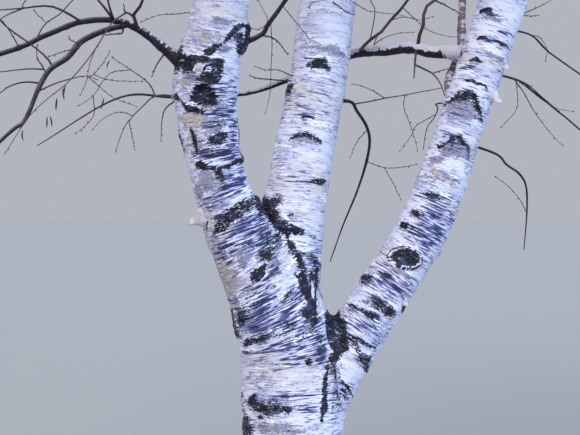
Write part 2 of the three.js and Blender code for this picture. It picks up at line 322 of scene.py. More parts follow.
def crownPath(side, index):
    # A crown bough climbs away from its stem and arches over, and a low one droops at its end.
    group, rule = crown[side], crownRule
    seed = group["start"] + index * rule["seedStep"]
    share = (index / (group["count"] - 1)) ** rule["heightSpread"]
    x, y, z, stemRadius = stemAt(side, group["lowest"] + (group["highest"] - group["lowest"]) * share)[0]
    middle = crownMiddle(z)
    outward = math.atan2(y - middle[1], x - middle[0])
    turned = (group["start"] + index * rule["turn"] + 180) % 360 - 180
    heading = outward + math.radians(turned * rule["fan"])
    reach = np.interp(z, *rule["reach"]) * between(*rule["reachVaries"], seed)
    climb = np.interp(z, *rule["rise"]) * between(*rule["riseVaries"], seed + 1)
    sway = between(-rule["sway"], rule["sway"], seed + 2)
    radius = min(rule["thickest"], stemRadius * rule["share"])
    path = []
    for out, rise, climbed, thick in rule["arch"]:
        turn = heading + sway * out
        wander = between(-rule["wander"], rule["wander"], seed + 3 + out) * reach if out > 0 else 0
        path.append((
            x + math.cos(turn) * reach * out - math.sin(turn) * wander,
            y + math.sin(turn) * reach * out + math.cos(turn) * wander,
            z + reach * (rise + climb * climbed),
            max(radius * thick, tipRadius),
        ))
    return path


boughLine = {
    "samples": 400,
    "inStem": 0.012,  # how far inside its stem a bough's line starts
    "inBough": 0.004,
    "fewest": 12,
    "lowStep": 0.007,
    "crownStep": 0.02,
}


def layBough(name, carrier, path, step):
    # A bough's line at even steps, from just inside what carries it to its tip.
    rule, knots = boughLine, np.arange(len(path))
    fine = smoothAt(knots, path, np.linspace(0, len(path) - 1, rule["samples"]))
    if carrier in stems:
        hidden = measure(stems[carrier], fine[:, :3])["gap"] < -rule["inStem"]
    else:
        host = boughs[carrier]["centre"]
        hidden = np.linalg.norm(fine[:, None, :3] - host[None], axis=2).min(axis=1) < rule["inBough"]
    fine = fine[np.argmin(hidden):]
    length = np.concatenate([[0], np.cumsum(np.linalg.norm(np.diff(fine[:, :3], axis=0), axis=1))])
    stations = np.linspace(0, length[-1], max(int(length[-1] / step), rule["fewest"]))
    rows = np.stack([np.interp(stations, length, fine[:, i]) for i in range(4)], axis=1)
    line = {"centre": rows[:, :3], "radius": rows[:, 3], "along": stations}
    return {"name": name, "carrier": carrier, **line}


boughs = {}
for name, (carrier, path) in lowBoughs.items():
    boughs[name] = layBough(name, carrier, path, boughLine["lowStep"])
for side, group in crown.items():
    for index in range(group["count"]):
        name = f"bough_{side}_{index + 1:02d}"
        boughs[name] = layBough(name, side, crownPath(side, index), boughLine["crownStep"])
print("lines laid:", len(stems), "stems and", len(boughs), "boughs")


# What every piece needs

def pointsOf(piece):
    points = np.empty(len(piece.data.vertices) * 3, np.float32)
    piece.data.vertices.foreach_get("co", points)
    return points.reshape(-1, 3).astype(float)


def setPoints(piece, points):
    piece.data.vertices.foreach_set("co", points.astype(np.float32).ravel())
    piece.data.update()


def paint(piece, name, values):
    # Stores three values at every point, for the bark's materials to read.
    stored = piece.data.attributes.new(name, "FLOAT_VECTOR", "POINT")
    stored.data.foreach_set("vector", values.astype(np.float32).ravel())


def only(piece):
    bpy.ops.object.select_all(action="DESELECT")
    piece.select_set(True)
    bpy.context.view_layer.objects.active = piece


def hold(piece, slot, materials, *nodes):
    for material in materials:
        piece.data.materials.append(material)
    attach(piece, "root")
    if nodes:
        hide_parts(*nodes)
    return piece


# The bark's scars and patches on each stem: the kind, the pixel of the photograph at its middle, half width
# and half height in millimetres, and its turn in degrees or how an arch is shaped.
seenScars = {
    "left": [
        ("scaly", (220, 5), 20, 8), ("clean", (234, 12), 60, 50), ("clean", (202, 10), 50, 50),
        ("scaly", (208, 38), 48, 46), ("grey", (222, 22), 44, 14), ("streaked", (220, 32), 30, 14),
        ("corky", (238, 36), 28, 22), ("spot", (178, 60), 36, 34), ("spot", (188, 65), 38, 28),
        ("spot", (209, 75), 42, 30, {"turn": 10}), ("spot", (218, 68), 26, 34), ("grey", (205, 84), 26, 12),
        ("grey", (194, 77), 24, 24), ("grey", (224, 50), 34, 12, {"turn": 20}), ("disc", (199, 68), 13, 18),
        ("rings", (209, 69), 22, 20), ("spot", (210, 79), 30, 18), ("hollow", (204, 95), 36, 32),
        ("scaly", (186, 80), 28, 40), ("streaked", (225, 88), 50, 50), ("disc", (211, 110), 10, 7),
        ("peeled", (214, 103), 54, 10, {"turn": 8}), ("peeled", (195, 119), 60, 24, {"turn": -8}),
        ("streaked", (224, 112), 44, 12), ("grey", (213, 124), 46, 34), ("mottled", (217, 120), 44, 20),
        ("corky", (210, 104), 34, 14, {"turn": 6}), ("grey", (222, 107), 30, 14),
        ("streaked", (234, 130), 36, 100), ("corky", (182, 139), 34, 36), ("corky", (219, 139), 40, 20),
        ("clean", (211, 134), 10, 14), ("mottled", (212, 153), 60, 24), ("scaly", (197, 146), 50, 70),
        ("grey", (203, 150), 40, 34), ("scaly", (203, 178), 40, 50),
        ("streaked", (222, 158), 60, 22, {"turn": 12}), ("corky", (241, 157), 20, 12),
        ("spot", (240, 130), 8, 60), ("grey", (208, 180), 44, 40), ("corky", (220, 177), 14, 30),
        ("streaked", (236, 180), 50, 50), ("grey", (200, 190), 22, 36),
        ("streaked", (225, 194), 90, 22, {"turn": 10}), ("grey", (222, 204), 50, 14, {"turn": 12}),
        ("clean", (228, 203), 40, 8, {"turn": 14}), ("scaly", (212, 208), 40, 40),
        ("lens", (234, 216), 96, 26, {"turn": 18}), ("mottled", (246, 214), 40, 18, {"turn": 20}),
        ("grey", (242, 256), 60, 36, {"turn": 16}), ("grey", (240, 228), 60, 14, {"turn": 18}),
        ("spot", (207, 226), 24, 6, {"turn": 50}), ("streaked", (245, 234), 110, 26, {"turn": 16}),
        ("mottled", (264, 233), 44, 66, {"turn": 50}), ("grey", (264, 233), 44, 40),
        ("scaly", (226, 250), 70, 34, {"turn": 12}), ("mottled", (250, 247), 36, 24, {"turn": 16}),
        ("peeled", (226, 280), 56, 66), ("peeled", (219, 254), 30, 60, {"turn": -16}),
        ("spot", (260, 271), 36, 15, {"turn": 12}), ("mottled", (270, 252), 40, 66, {"turn": -30}),
        ("grey", (272, 259), 36, 30), ("corky", (265, 256), 24, 26, {"turn": -30}),
        ("clean", (287, 266), 30, 50), ("mottled", (279, 272), 8, 12),
        ("streaked", (262, 285), 70, 8, {"turn": 22}), ("grey", (250, 288), 34, 12, {"turn": 18}),
        ("clean", (281, 286), 30, 18, {"turn": 18}), ("mottled", (290, 296), 34, 34),
        ("streaked", (264, 301), 60, 16, {"turn": 18}), ("streaked", (266, 318), 100, 50, {"turn": 16}),
        ("mottled", (285, 330), 60, 40, {"turn": 12}), ("grey", (238, 301), 30, 16),
        ("corky", (243, 318), 40, 34), ("mottled", (240, 330), 30, 24), ("grey", (252, 322), 66, 40),
        ("grey", (262, 328), 50, 24), ("corky", (257, 341), 76, 18), ("spot", (249, 341), 14, 8),
        ("corky", (247, 352), 32, 8), ("streaked", (262, 351), 80, 10),
        ("streaked", (283, 350), 80, 12, {"turn": 6}), ("streaked", (294, 357), 40, 12, {"turn": 6}),
        ("clean", (296, 376), 56, 30), ("corky", (334, 372), 30, 40), ("grey", (334, 384), 32, 50),
        ("fine", (270, 380), 80, 40), ("scaly", (250, 366), 26, 20), ("spot", (308, 362), 14, 9),
        ("streaked", (300, 364), 60, 14), ("mottled", (320, 356), 30, 24), ("grey", (265, 405), 92, 42),
        ("corky", (266, 407), 80, 30), ("grey", (278, 429), 110, 20), ("spot", (252, 401), 26, 20),
        ("spot", (287, 409), 18, 14), ("spot", (261, 418), 10, 9), ("streaked", (295, 396), 70, 14),
        ("streaked", (312, 409), 34, 14), ("corky", (248, 428), 44, 30), ("mottled", (320, 338), 34, 56),
        ("mottled", (302, 332), 42, 50), ("mottled", (306, 300), 30, 60), ("corky", (307, 312), 30, 26),
        # The last four marks are painted shade: greyer, browner bark on the left stem, on the trunk's left
        # side and low on the trunk.
        ("mottled", (336, 402), 44, 70), ("dull", (290, 430), 150, 32), ("dull", (262, 378), 70, 60),
        ("dull", (206, 160), 60, 120), ("dull", (236, 262), 80, 120),
    ],
    "middle": [
        ("arch", (321, 65), 44, 24, {"thick": 1.15, "drop": 1.5, "under": 0}), ("grey", (327, 50), 86, 18),
        ("corky", (290, 90), 30, 22), ("spot", (290, 90), 22, 14),
        ("arch", (308, 118), 26, 8, {"thick": 0.9, "under": 0}),
        ("arch", (306, 138), 60, 20, {"thick": 0.75, "drop": 1.7, "under": 0.9}),
        ("lens", (320, 181), 36, 11, {"turn": 8}), ("fine", (304, 104), 90, 70),
        ("clean", (325, 154), 46, 80), ("clean", (330, 30), 60, 60), ("corky", (276, 203), 20, 20),
        ("peeled", (298, 214), 20, 6), ("grey", (292, 219), 24, 12),
        ("spot", (290, 215), 14, 4, {"turn": 12}), ("spot", (298, 231), 22, 11, {"turn": -12}),
        ("mottled", (312, 237), 30, 12, {"turn": -20}), ("mottled", (308, 256), 40, 18, {"turn": -30}),
        ("mottled", (312, 280), 50, 110),
    ],
    "right": [
        ("arch", (486, 12), 28, 14, {"drop": 1.2, "under": 0.6}),
        ("arch", (484, 39), 28, 13, {"drop": 1.2, "under": 0.6}), ("lens", (500, 43), 46, 5),
        ("streaked", (503, 34), 36, 14), ("grey", (492, 17), 40, 14), ("grey", (494, 57), 50, 12),
        ("arch", (476, 62), 20, 12, {"thick": 0.8, "under": 0.6}), ("streaked", (468, 68), 34, 8),
        ("arch", (476, 84), 44, 14, {"thick": 0.9, "drop": 1.0, "under": 0}),
        ("arch", (464, 104), 80, 48, {"thick": 0.56, "drop": 1.5, "under": 0.75}),
        ("arch", (455, 146), 64, 40, {"thick": 0.36, "drop": 1.5, "under": 1}),
        ("fine", (458, 122), 80, 24),
        ("mottled", (446, 134), 22, 12, {"turn": 20}), ("grey", (436, 161), 36, 24),
        ("scaly", (430, 178), 44, 36), ("scaly", (450, 182), 34, 16), ("grey", (447, 176), 26, 12),
        ("lens", (432, 196), 40, 14), ("clean", (410, 206), 40, 18), ("streaked", (436, 212), 80, 60),
        ("corky", (418, 213), 26, 20, {"turn": 30}), ("spot", (404, 226), 20, 14),
        ("mottled", (412, 232), 60, 24), ("streaked", (422, 245), 60, 40), ("streaked", (433, 231), 50, 20),
        ("eye", (405, 257), 43, 26, {"turn": 22}), ("lens", (383, 273), 24, 10),
        ("grey", (406, 274), 44, 14, {"turn": 10}), ("corky", (366, 279), 36, 22),
        ("streaked", (385, 286), 90, 50), ("grey", (402, 285), 44, 16), ("lens", (353, 306), 30, 9),
        ("lens", (371, 315), 36, 10), ("corky", (378, 304), 44, 16), ("corky", (388, 312), 32, 18),
        ("spot", (405, 307), 20, 20), ("streaked", (372, 328), 80, 40), ("lens", (366, 343), 60, 7),
        ("corky", (365, 357), 34, 18), ("mottled", (336, 373), 20, 40), ("clean", (350, 368), 50, 34),
        ("mottled", (340, 396), 44, 60),
    ],
}

# Ridges and cracks of rough black bark in the crotches: half width and rise in millimetres, how dark the
# middle is, and the pixels that each runs through.
seenRidges = [
    (11, 4, 1.2, [(208, 52), (217, 47), (224, 42), (229, 35), (236, 29), (242, 26), (249, 27)]),
    (17, 11, 1.3, [(249, 31), (246, 39), (240, 48)]),
    (9, 3, 1.1, [(177, 97), (182, 101), (188, 107), (196, 110), (203, 112)]),
    (4, 1, 1, [(191, 128), (195, 138), (198, 152)]),
    (10, 3, 1, [(200, 165), (207, 168), (216, 169), (228, 166), (240, 160)]),
    (10, 5, 1.4, [(174, 52), (180, 57), (192, 59), (206, 60), (219, 64)]),
    (27, 12, 1.3, [(260, 200), (265, 206), (272, 214), (280, 224)]),
    (15, 8, 1, [(278, 214), (283, 225), (286, 234), (291, 247), (296, 259)]),
    (13, 3, 1, [(284, 226), (292, 230), (300, 232)]), (8, 1, 0.6, [(300, 232), (309, 235), (318, 240)]),
    (16, 7, 1, [(296, 259), (300, 270), (303, 283), (307, 295), (310, 307), (312, 319)]),
    (12, 3, 0.7, [(297, 254), (305, 255), (313, 259), (317, 267)]),
    (5, 3, 1, [(316, 268), (315, 282), (315, 296), (314, 304)]),
    (5, 3, 1, [(310, 272), (309, 284), (308, 296)]), (22, 2, 0.75, [(279, 230), (273, 242), (266, 250)]),
    (6, 2, 0.7, [(313, 314), (313, 322), (311, 330)]),
    (5, -2, 0.7, [(228, 301), (240, 301), (252, 296), (266, 289), (275, 287)]),
    (5, -2, 0.75, [(234, 309), (248, 307), (262, 302), (276, 297)]),
    (16, 2, 0.9, [(230, 312), (234, 323), (238, 336)]),
    (25, -2, 2.2, [(333, 318), (336, 326), (338, 336), (338, 345)]),
    (24, -2, 1, [(338, 346), (334, 353), (331, 359)]),
    (11, 3, 1, [(329, 358), (326, 368), (325, 382), (323, 396), (322, 410)]),
    (5, 1, 1, [(322, 410), (321, 421)]), (9, -2, 0.7, [(344, 330), (354, 342), (362, 356), (366, 370)]),
    (4, 1, 1, [(338, 377), (347, 386), (352, 396), (354, 408)]),
    (9, 1, 0.7, [(241, 394), (243, 410), (249, 422)]),
]


def seenOn(side, px, py):
    # Where the ray through a pixel first meets a stem: its length along and its angle round.
    ray = np.array([fromPhoto(px, py, away) for away in np.linspace(*photo["depths"])])
    found = measure(stems[side], ray)
    hit = np.argmax(found["gap"] < 0) if np.any(found["gap"] < 0) else np.argmin(found["gap"])
    return found["along"][hit], found["angle"][hit]


def seenScar(side, kind, pixel, wide, tall, more=None):
    along, angle = seenOn(side, *pixel)
    scar = {"along": along, "angle": angle, "size": (wide / 1000, tall / 1000), "kind": kind}
    return {**scar, **(more or {})}


# Scars beyond the photograph's view. A width is a share of the stem's radius, and a height one of the width.
# A bough's collar is an arch over its foot.
scarRule = {
    "seeds": {"left": 11, "middle": 12, "right": 13},
    "start": {"left": 0.1, "middle": 0.35, "right": 0.35},
    "bareTop": 0.6,
    "apart": (0.03, 0.11),
    "kinds": [
        *["arch"] * 4, "lens", "spot", "corky", "scaly", "scaly", "streaked", "streaked", "peeled", "eye",
    ],
    "wide": (0.3, 0.8),
    "tall": {
        "arch": 0.42, "eye": 0.7, "lens": 0.25, "spot": 0.2,
        "corky": 0.4, "scaly": 0.5, "streaked": 0.6, "peeled": 0.4,
    },
    "thick": (0.5, 0.9),
    "under": (0, 0.6),
    "seen": {"heights": (0.98, 2.44), "angle": 1.9},
    "collar": {"onStem": 0.85, "onBough": 3.4, "least": 0.012, "up": 0.1, "tall": 0.75},
    "collarShape": {"kind": "arch", "thick": 0.8, "drop": 1.4, "under": 0.8},
    "uncollared": ("bough_left_low", "bough_left_inner"),
}


def addScars(side):
    # Dark arches over lost branches, eyes, patches and streaks all the way up, and a collar at each bough.
    rule, line = scarRule, stems[side]
    dice = np.random.default_rng(rule["seeds"][side])
    low, high = rule["seen"]["heights"]
    scars = []
    along = line["along"][0] + rule["start"][side]
    while along < line["along"][-1] - rule["bareTop"]:
        height = np.interp(along, line["along"], line["heights"])
        thick = np.interp(height, line["heights"], line["radius"])
        angle = dice.uniform(-math.pi, math.pi)
        kind = dice.choice(rule["kinds"])
        wide = thick * dice.uniform(*rule["wide"])
        if not (low < height < high and abs(angle) < rule["seen"]["angle"]):
            scar = {"along": along, "angle": angle, "size": (wide, wide * rule["tall"][kind]), "kind": kind}
            scar["thick"] = dice.uniform(*rule["thick"])
            scar["under"] = dice.uniform(*rule["under"])
            scars.append(scar)
        along += dice.uniform(*rule["apart"])
    collar = rule["collar"]
    for bough in boughs.values():
        if bough["carrier"] == side and bough["name"] not in rule["uncollared"]:
            foot = measure(line, bough["centre"][2:3])
            wide = bough["radius"][0] * collar["onBough"] + collar["least"]
            wide = float(min(foot["radius"][0] * collar["onStem"], wide))
            place = {"along": foot["along"][0] + wide * collar["up"], "angle": foot["angle"][0]}
            scars.append({**place, "size": (wide, wide * collar["tall"]), **rule["collarShape"]})
    return scars


# Plain marks at full strength: how dark, corky, peeled and streaked, and how far they stand out in metres.
plainMarks = {
    "corky": (0.8, 1, 0, 0, 0.003),
    "mottled": (0.5, 0.4, 0, 0.7, 0.002),
    "grey": (0.34, 0.8, 0, 0.3, 0.002),
    # painted shade: greyer, browner bark, for the shaded left sides of the trunk and the left stem and low on
    # the trunk
    "dull": (0, 0.34, 0.2, 0, 0),
    "scaly": (0.3, 0.4, 0.62, 0.15, 0),
    "peeled": (0, 0, 1.15, 0.3, -0.0008),
    "streaked": (0, 0, 0, 1.1, 0),
    "fine": (0, 0, 0, 0.3, 0),
    "clean": (0, 0, 0, -1.3, 0.0006),
}


def hump(value, middle, wide):
    return np.exp(-(((value - middle) / wide) ** 2))


def scarShape(scar, a, b):
    # How dark, corky, peeled and streaked the bark is and how far it stands out, in metres, at places across
    # and up from a scar's middle, in half sizes. A mark is half strength at its outline and fades there.
    kind, far = scar["kind"], np.hypot(a, b)
    patch, soft = np.clip(0.5 + 1.1 * (1 - far), 0, 1), np.clip(0.5 + 0.75 * (1 - far), 0, 1)
    if kind in plainMarks:
        return [share * soft for share in plainMarks[kind]]
    dark, cork, peeled, streak, lift = np.zeros((5, len(a)))
    if kind == "arch":
        thick, drop, under = scar.get("thick", 1.0), scar.get("drop", 1.1), scar.get("under", 0.4)
        below = 0.9 - drop * np.abs(a) ** 1.5 - b  # from the arch's upper edge, which drops to both sides
        width = thick * np.clip(1 - a * a, 0, 1) + 0.12
        inside = np.clip((1.15 - np.abs(a)) * 4, 0, 1)
        dark = np.clip(0.55 + 1.5 * np.minimum(below, width - below), 0, 1) * inside
        cork = under * np.clip(0.5 + 1.3 * np.minimum(below, 1.1 - far), 0, 1) * inside
        dark, streak = np.maximum(dark, 0.42 * cork), 0.6 * soft
        # a lip stands out over the arch, and its middle is sunk
        lift = (0.005 * hump(below, -0.2, 0.25) - 0.003 * hump(below, width * 0.6, 0.4)) * inside
    elif kind == "eye":
        # a black middle in a white swelling, with thin black lines round it
        dark = np.clip(0.6 + 3 * (1 - far), 0, 1.25)
        below, deepBelow, upperLeft = (np.clip(side, 0, 1) for side in (0.9 - b, -0.4 - b, b - a - 0.3))
        for ring, strength in ((1.24, below), (1.42, deepBelow), (1.2, upperLeft)):
            dark = np.maximum(dark, strength * hump(far, ring, 0.09))
        streak = -0.8 * hump(far, 1.25, 0.2)
        lift = 0.006 * hump(far, 1.25, 0.3) - 0.006 * np.clip(1.1 - far, 0, 1)
    elif kind == "hollow":  # a deep black knot hole with a raised rim
        dark, cork = np.clip(0.6 + 1.4 * (1 - far), 0, 1), np.clip(1.3 - far, 0, 1)
        lift = 0.006 * hump(far, 1.1, 0.3) - 0.02 * np.clip(1 - far * far, 0, 1)
    elif kind == "rings":  # black and white rings over the upper part
        dark = np.where((far < 1.1) & (b > -0.4), 2.2 * np.cos(far * 11) - 0.3, 0)
        lift = 0.006 * np.clip(1.3 - far, 0, 1)
    elif kind == "lens":  # a level slit, pointed at both ends
        dark = np.clip(0.5 + 0.9 * (1 - a * a - np.abs(b)), 0, 0.8)
        streak, cork = soft, 0.5 * patch
        lift = 0.002 * hump(far, 1.2, 0.3) - 0.002 * dark
    elif kind == "spot":  # a plain black patch
        dark, lift = patch, 0.0015 * patch
    elif kind == "disc":  # the pale sawn end of a lost bough
        peeled, dark = 0.9 * np.clip(1.4 - far, 0, 1), -1.2 * np.clip(0.5 + 2 * (1 - far), 0, 1)
        streak, lift = -soft, 0.004 * soft
    return dark, cork, peeled, streak, lift


scarsOf = {}
for side, rows in seenScars.items():
    scarsOf[side] = [seenScar(side, *row) for row in rows] + addScars(side)
print("scars placed:", {side: len(found) for side, found in scarsOf.items()})


def ridgeDistance(points, through):
    # Distance from points to a line of pixels, both as the photograph sees them, in metres at the fork.
    px, py = toPhoto(points)
    seen = np.stack([px, py], axis=1) * photo["metresPerPixel"]
    knots = np.array(through, float) * photo["metresPerPixel"]
    best = np.full(len(points), np.inf)
    for start, end in zip(knots[:-1], knots[1:]):
        way = end - start
        t = np.clip((seen - start) @ way / (way @ way), 0, 1)
        best = np.minimum(best, np.linalg.norm(seen - start - t[:, None] * way, axis=1))
    return best


# Each relief's height in metres, and its steps per metre to the front, to the right and along.
relief = {
    "lump": (0.0035, (9, 9, 5)),
    "ring": (0.0011, (11, 11, 75)),
    "sheet": (0.0012, (13, 13, 34)),
    "cork": (0.0055, (34, 34, 9)),
    "fibre": (0.0025, (70, 70, 45)),
    "warp": (0.011, (26, 26, 26)),  # how far the outlines of scars wander
    "fray": (0.004, (85, 85, 85)),
}
barkRule = {
    "apart": {"left": 0, "middle": 20, "right": 40},  # each stem has its own stretch of the noises
    "reach": 2.6,  # how far a scar's marks go, in half sizes
    "turnedTall": 0.6,  # a turned scar reaches up by this share of its width
    "firm": ("eye", "rings", "disc"),  # kinds whose outline wanders less
    "firmShare": 0.35,
    "least": {"wide": 0.025, "tall": 0.018, "ridge": 0.012},  # smaller marks wander as these would
    "footFade": 0.22,  # rough dark bark reaches about this high from the ground
    "footSteps": (9, 9, 7), "footVaries": 0.6,
    "footCork": {"share": 1.3, "off": 0.1, "most": 0.8}, "footDark": {"off": 0.25, "most": 0.5},
    "mostStreak": 1.5,
    "outwardBlend": 0.006,
    "front": {"trunk": (0.09, 0.05), "stem": (0.45, 0.1)},  # seen ridges are only on the side that shows
    "seam": 0.012,  # half width of the ridge where two stems meet
    "seamFrom": (1.02, 1.25), "seamRise": 0.004, "seamDark": 0.8, "seamInFront": 0.45,
    "ridgeDark": 0.5, "ridgeEdge": 0.8, "ridgeCork": 0.8, "ridgeFade": (0.9, 18),
    "corkDepth": 1.4, "darkRough": 0.6,
    "paperEdge": 0.0008,  # a sheet of paper stands out or lies back by this much
    "flatFoot": 1e-4,  # points as low as this stay in the foot's flat cut
    "youngRadius": (0.026, 0.009),  # a stem thinner than this has young brown bark
}


def reliefAt(name, space, seed):
    height, steps = relief[name]
    return height * grain(space * steps, seed)


def barkOn(side, place):
    # The marks and the relief of one stem's bark at places on it.
    rule, least, angle, radius = barkRule, barkRule["least"], place["angle"], place["radius"]
    along = place["along"] + rule["apart"][side]
    space = np.stack([np.cos(angle) * radius, np.sin(angle) * radius, along], axis=1)
    warpA, warpB = (reliefAt("warp", space, seed) + reliefAt("fray", space, seed) for seed in (21, 22))
    dark, cork, peeled, streak, lift = np.zeros((5, len(space)))
    for scar in scarsOf[side]:
        wide, tall = scar["size"]
        aside = (angle - scar["angle"] + math.pi) % tau - math.pi
        across, up = aside * radius, place["along"] - scar["along"]
        near = np.abs(across) < rule["reach"] * wide
        near &= np.abs(up) < rule["reach"] * max(tall, wide * rule["turnedTall"])
        near = np.flatnonzero(near)
        if not len(near):
            continue
        turn = math.radians(scar.get("turn", 0))
        a = (across[near] * math.cos(turn) + up[near] * math.sin(turn)) / wide
        b = (up[near] * math.cos(turn) - across[near] * math.sin(turn)) / tall
        wander = rule["firmShare"] if scar["kind"] in rule["firm"] else 1.0
        a = a + wander * warpA[near] / max(wide, least["wide"])
        b = b + wander * warpB[near] / max(tall, least["tall"])
        black, corky, bare, torn, raised = scarShape(scar, a, b)
        lighter, darker = np.minimum(dark[near], 1 + black), np.maximum(dark[near], black)
        dark[near] = np.where(black < 0, lighter, darker)
        cork[near], peeled[near] = np.maximum(cork[near], corky), np.maximum(peeled[near], bare)
        streak[near] += torn
        lift[near] += raised
    old = np.exp(-place["height"] / rule["footFade"])
    old = old * (1 + rule["footVaries"] * grain(space * rule["footSteps"], 5))
    corky, black = rule["footCork"], rule["footDark"]
    cork = np.maximum(cork, np.clip(old * corky["share"] - corky["off"], 0, corky["most"]))
    dark = np.maximum(dark, np.clip(old - black["off"], 0, black["most"]))
    return space, dark, cork, peeled, np.clip(streak, -rule["mostStreak"], rule["mostStreak"]), lift


def dress(piece, sides):
    # Gives a shell its bark: relief on its points, and the marks that the material reads.
    rule, points = barkRule, pointsOf(piece)
    found = {side: measure(stems[side], points) for side in sides}
    gaps = np.stack([found[side]["gap"] for side in sides])
    order = np.argsort(gaps, axis=0)
    space, outward = np.zeros((2, len(points), 3))
    dark, cork, peeled, streak, lift, young = np.zeros((6, len(points)))
    for i, side in enumerate(sides):
        mine = np.flatnonzero(order[0] == i)
        if len(mine):
            place = {key: values[mine] for key, values in found[side].items()}
            marks = barkOn(side, place)
            for values, made in zip((space, dark, cork, peeled, streak, lift), marks):
                values[mine] = made
            young[mine] = ease(*rule["youngRadius"], place["radius"])
    for i, side in enumerate(sides):
        weight = np.exp(-np.clip(gaps[i] - np.min(gaps, axis=0), 0, 1) / rule["outwardBlend"])
        outward += found[side]["outward"] * weight[:, None]
    outward = unit(outward)
    front = ease(*rule["front"]["stem"], outward[:, 1])
    if len(sides) > 1:
        front = ease(*rule["front"]["trunk"], points[:, 1])
        # Where two stems meet, their bark is pushed up into a dark ridge.
        apart = np.take_along_axis(gaps, order[1:2], axis=0)[0] - np.min(gaps, axis=0)
        seam = np.exp(-((apart / rule["seam"]) ** 2)) * ease(*rule["seamFrom"], points[:, 2])
        seam = seam * (1 - rule["seamInFront"] * front)
        dark, cork = np.maximum(dark, seam * rule["seamDark"]), np.maximum(cork, seam)
        lift += rule["seamRise"] * seam
    wander = reliefAt("warp", space, 23) + reliefAt("fray", space, 24)
    fade = np.clip(rule["ridgeFade"][0] + rule["ridgeFade"][1] * reliefAt("warp", space, 25), 0, 1)
    for widthInMm, riseInMm, most, through in seenRidges:
        width = widthInMm / 1000
        away = ridgeDistance(points, through) / width + wander / max(width, rule["least"]["ridge"])
        strength = np.clip(rule["ridgeDark"] + rule["ridgeEdge"] * (1 - away), 0, 1) * fade * most * front
        dark, cork = np.maximum(dark, strength), np.maximum(cork, strength * rule["ridgeCork"])
        lift += riseInMm / 1000 * np.exp(-(away ** 2)) * front
    sheets = np.clip(reliefAt("sheet", space, 3) * 4, -rule["paperEdge"], rule["paperEdge"])
    lift += reliefAt("lump", space, 1) + reliefAt("ring", space, 2) + sheets
    rough = np.abs(reliefAt("cork", space, 4)) * rule["corkDepth"] + reliefAt("fibre", space, 6)
    lift += rough * np.clip(cork + rule["darkRough"] * dark, 0, 1)
    moved = points + outward * lift[:, None]
    moved[:, 2] = np.where(points[:, 2] < rule["flatFoot"], 0, np.maximum(moved[:, 2], 0))
    setPoints(piece, moved)
    paint(piece, "barkSpace", space)
    paint(piece, "barkMarks", np.stack([dark, cork, peeled], axis=1))
    paint(piece, "barkAgeAndLitTop", np.stack([young, streak, np.zeros(len(points))], axis=1))


# Materials

def colour(code):
    # An sRGB hex colour as the linear one that a shader works with.
    shares = [int(code[i:i + 2], 16) / 255 for i in (1, 3, 5)]
    return (*[c / 12.92 if c <= 0.04045 else ((c + 0.055) / 1.055) ** 2.4 for c in shares], 1)


def add(tree, kind, inputs=None, **settings):
    # Adds a node with its settings; an input takes a socket to link, a hex colour or a plain value.
    # A colour mix has its two colours in sockets 6 and 7.
    made = tree.nodes.new("ShaderNode" + kind)
    for key, value in settings.items():
        setattr(made, key, value)
    for place, value in (inputs or {}).items():
        if isinstance(value, bpy.types.NodeSocket):
            tree.links.new(value, made.inputs[place])
        else:
            made.inputs[place].default_value = colour(value) if isinstance(value, str) else value
    return made


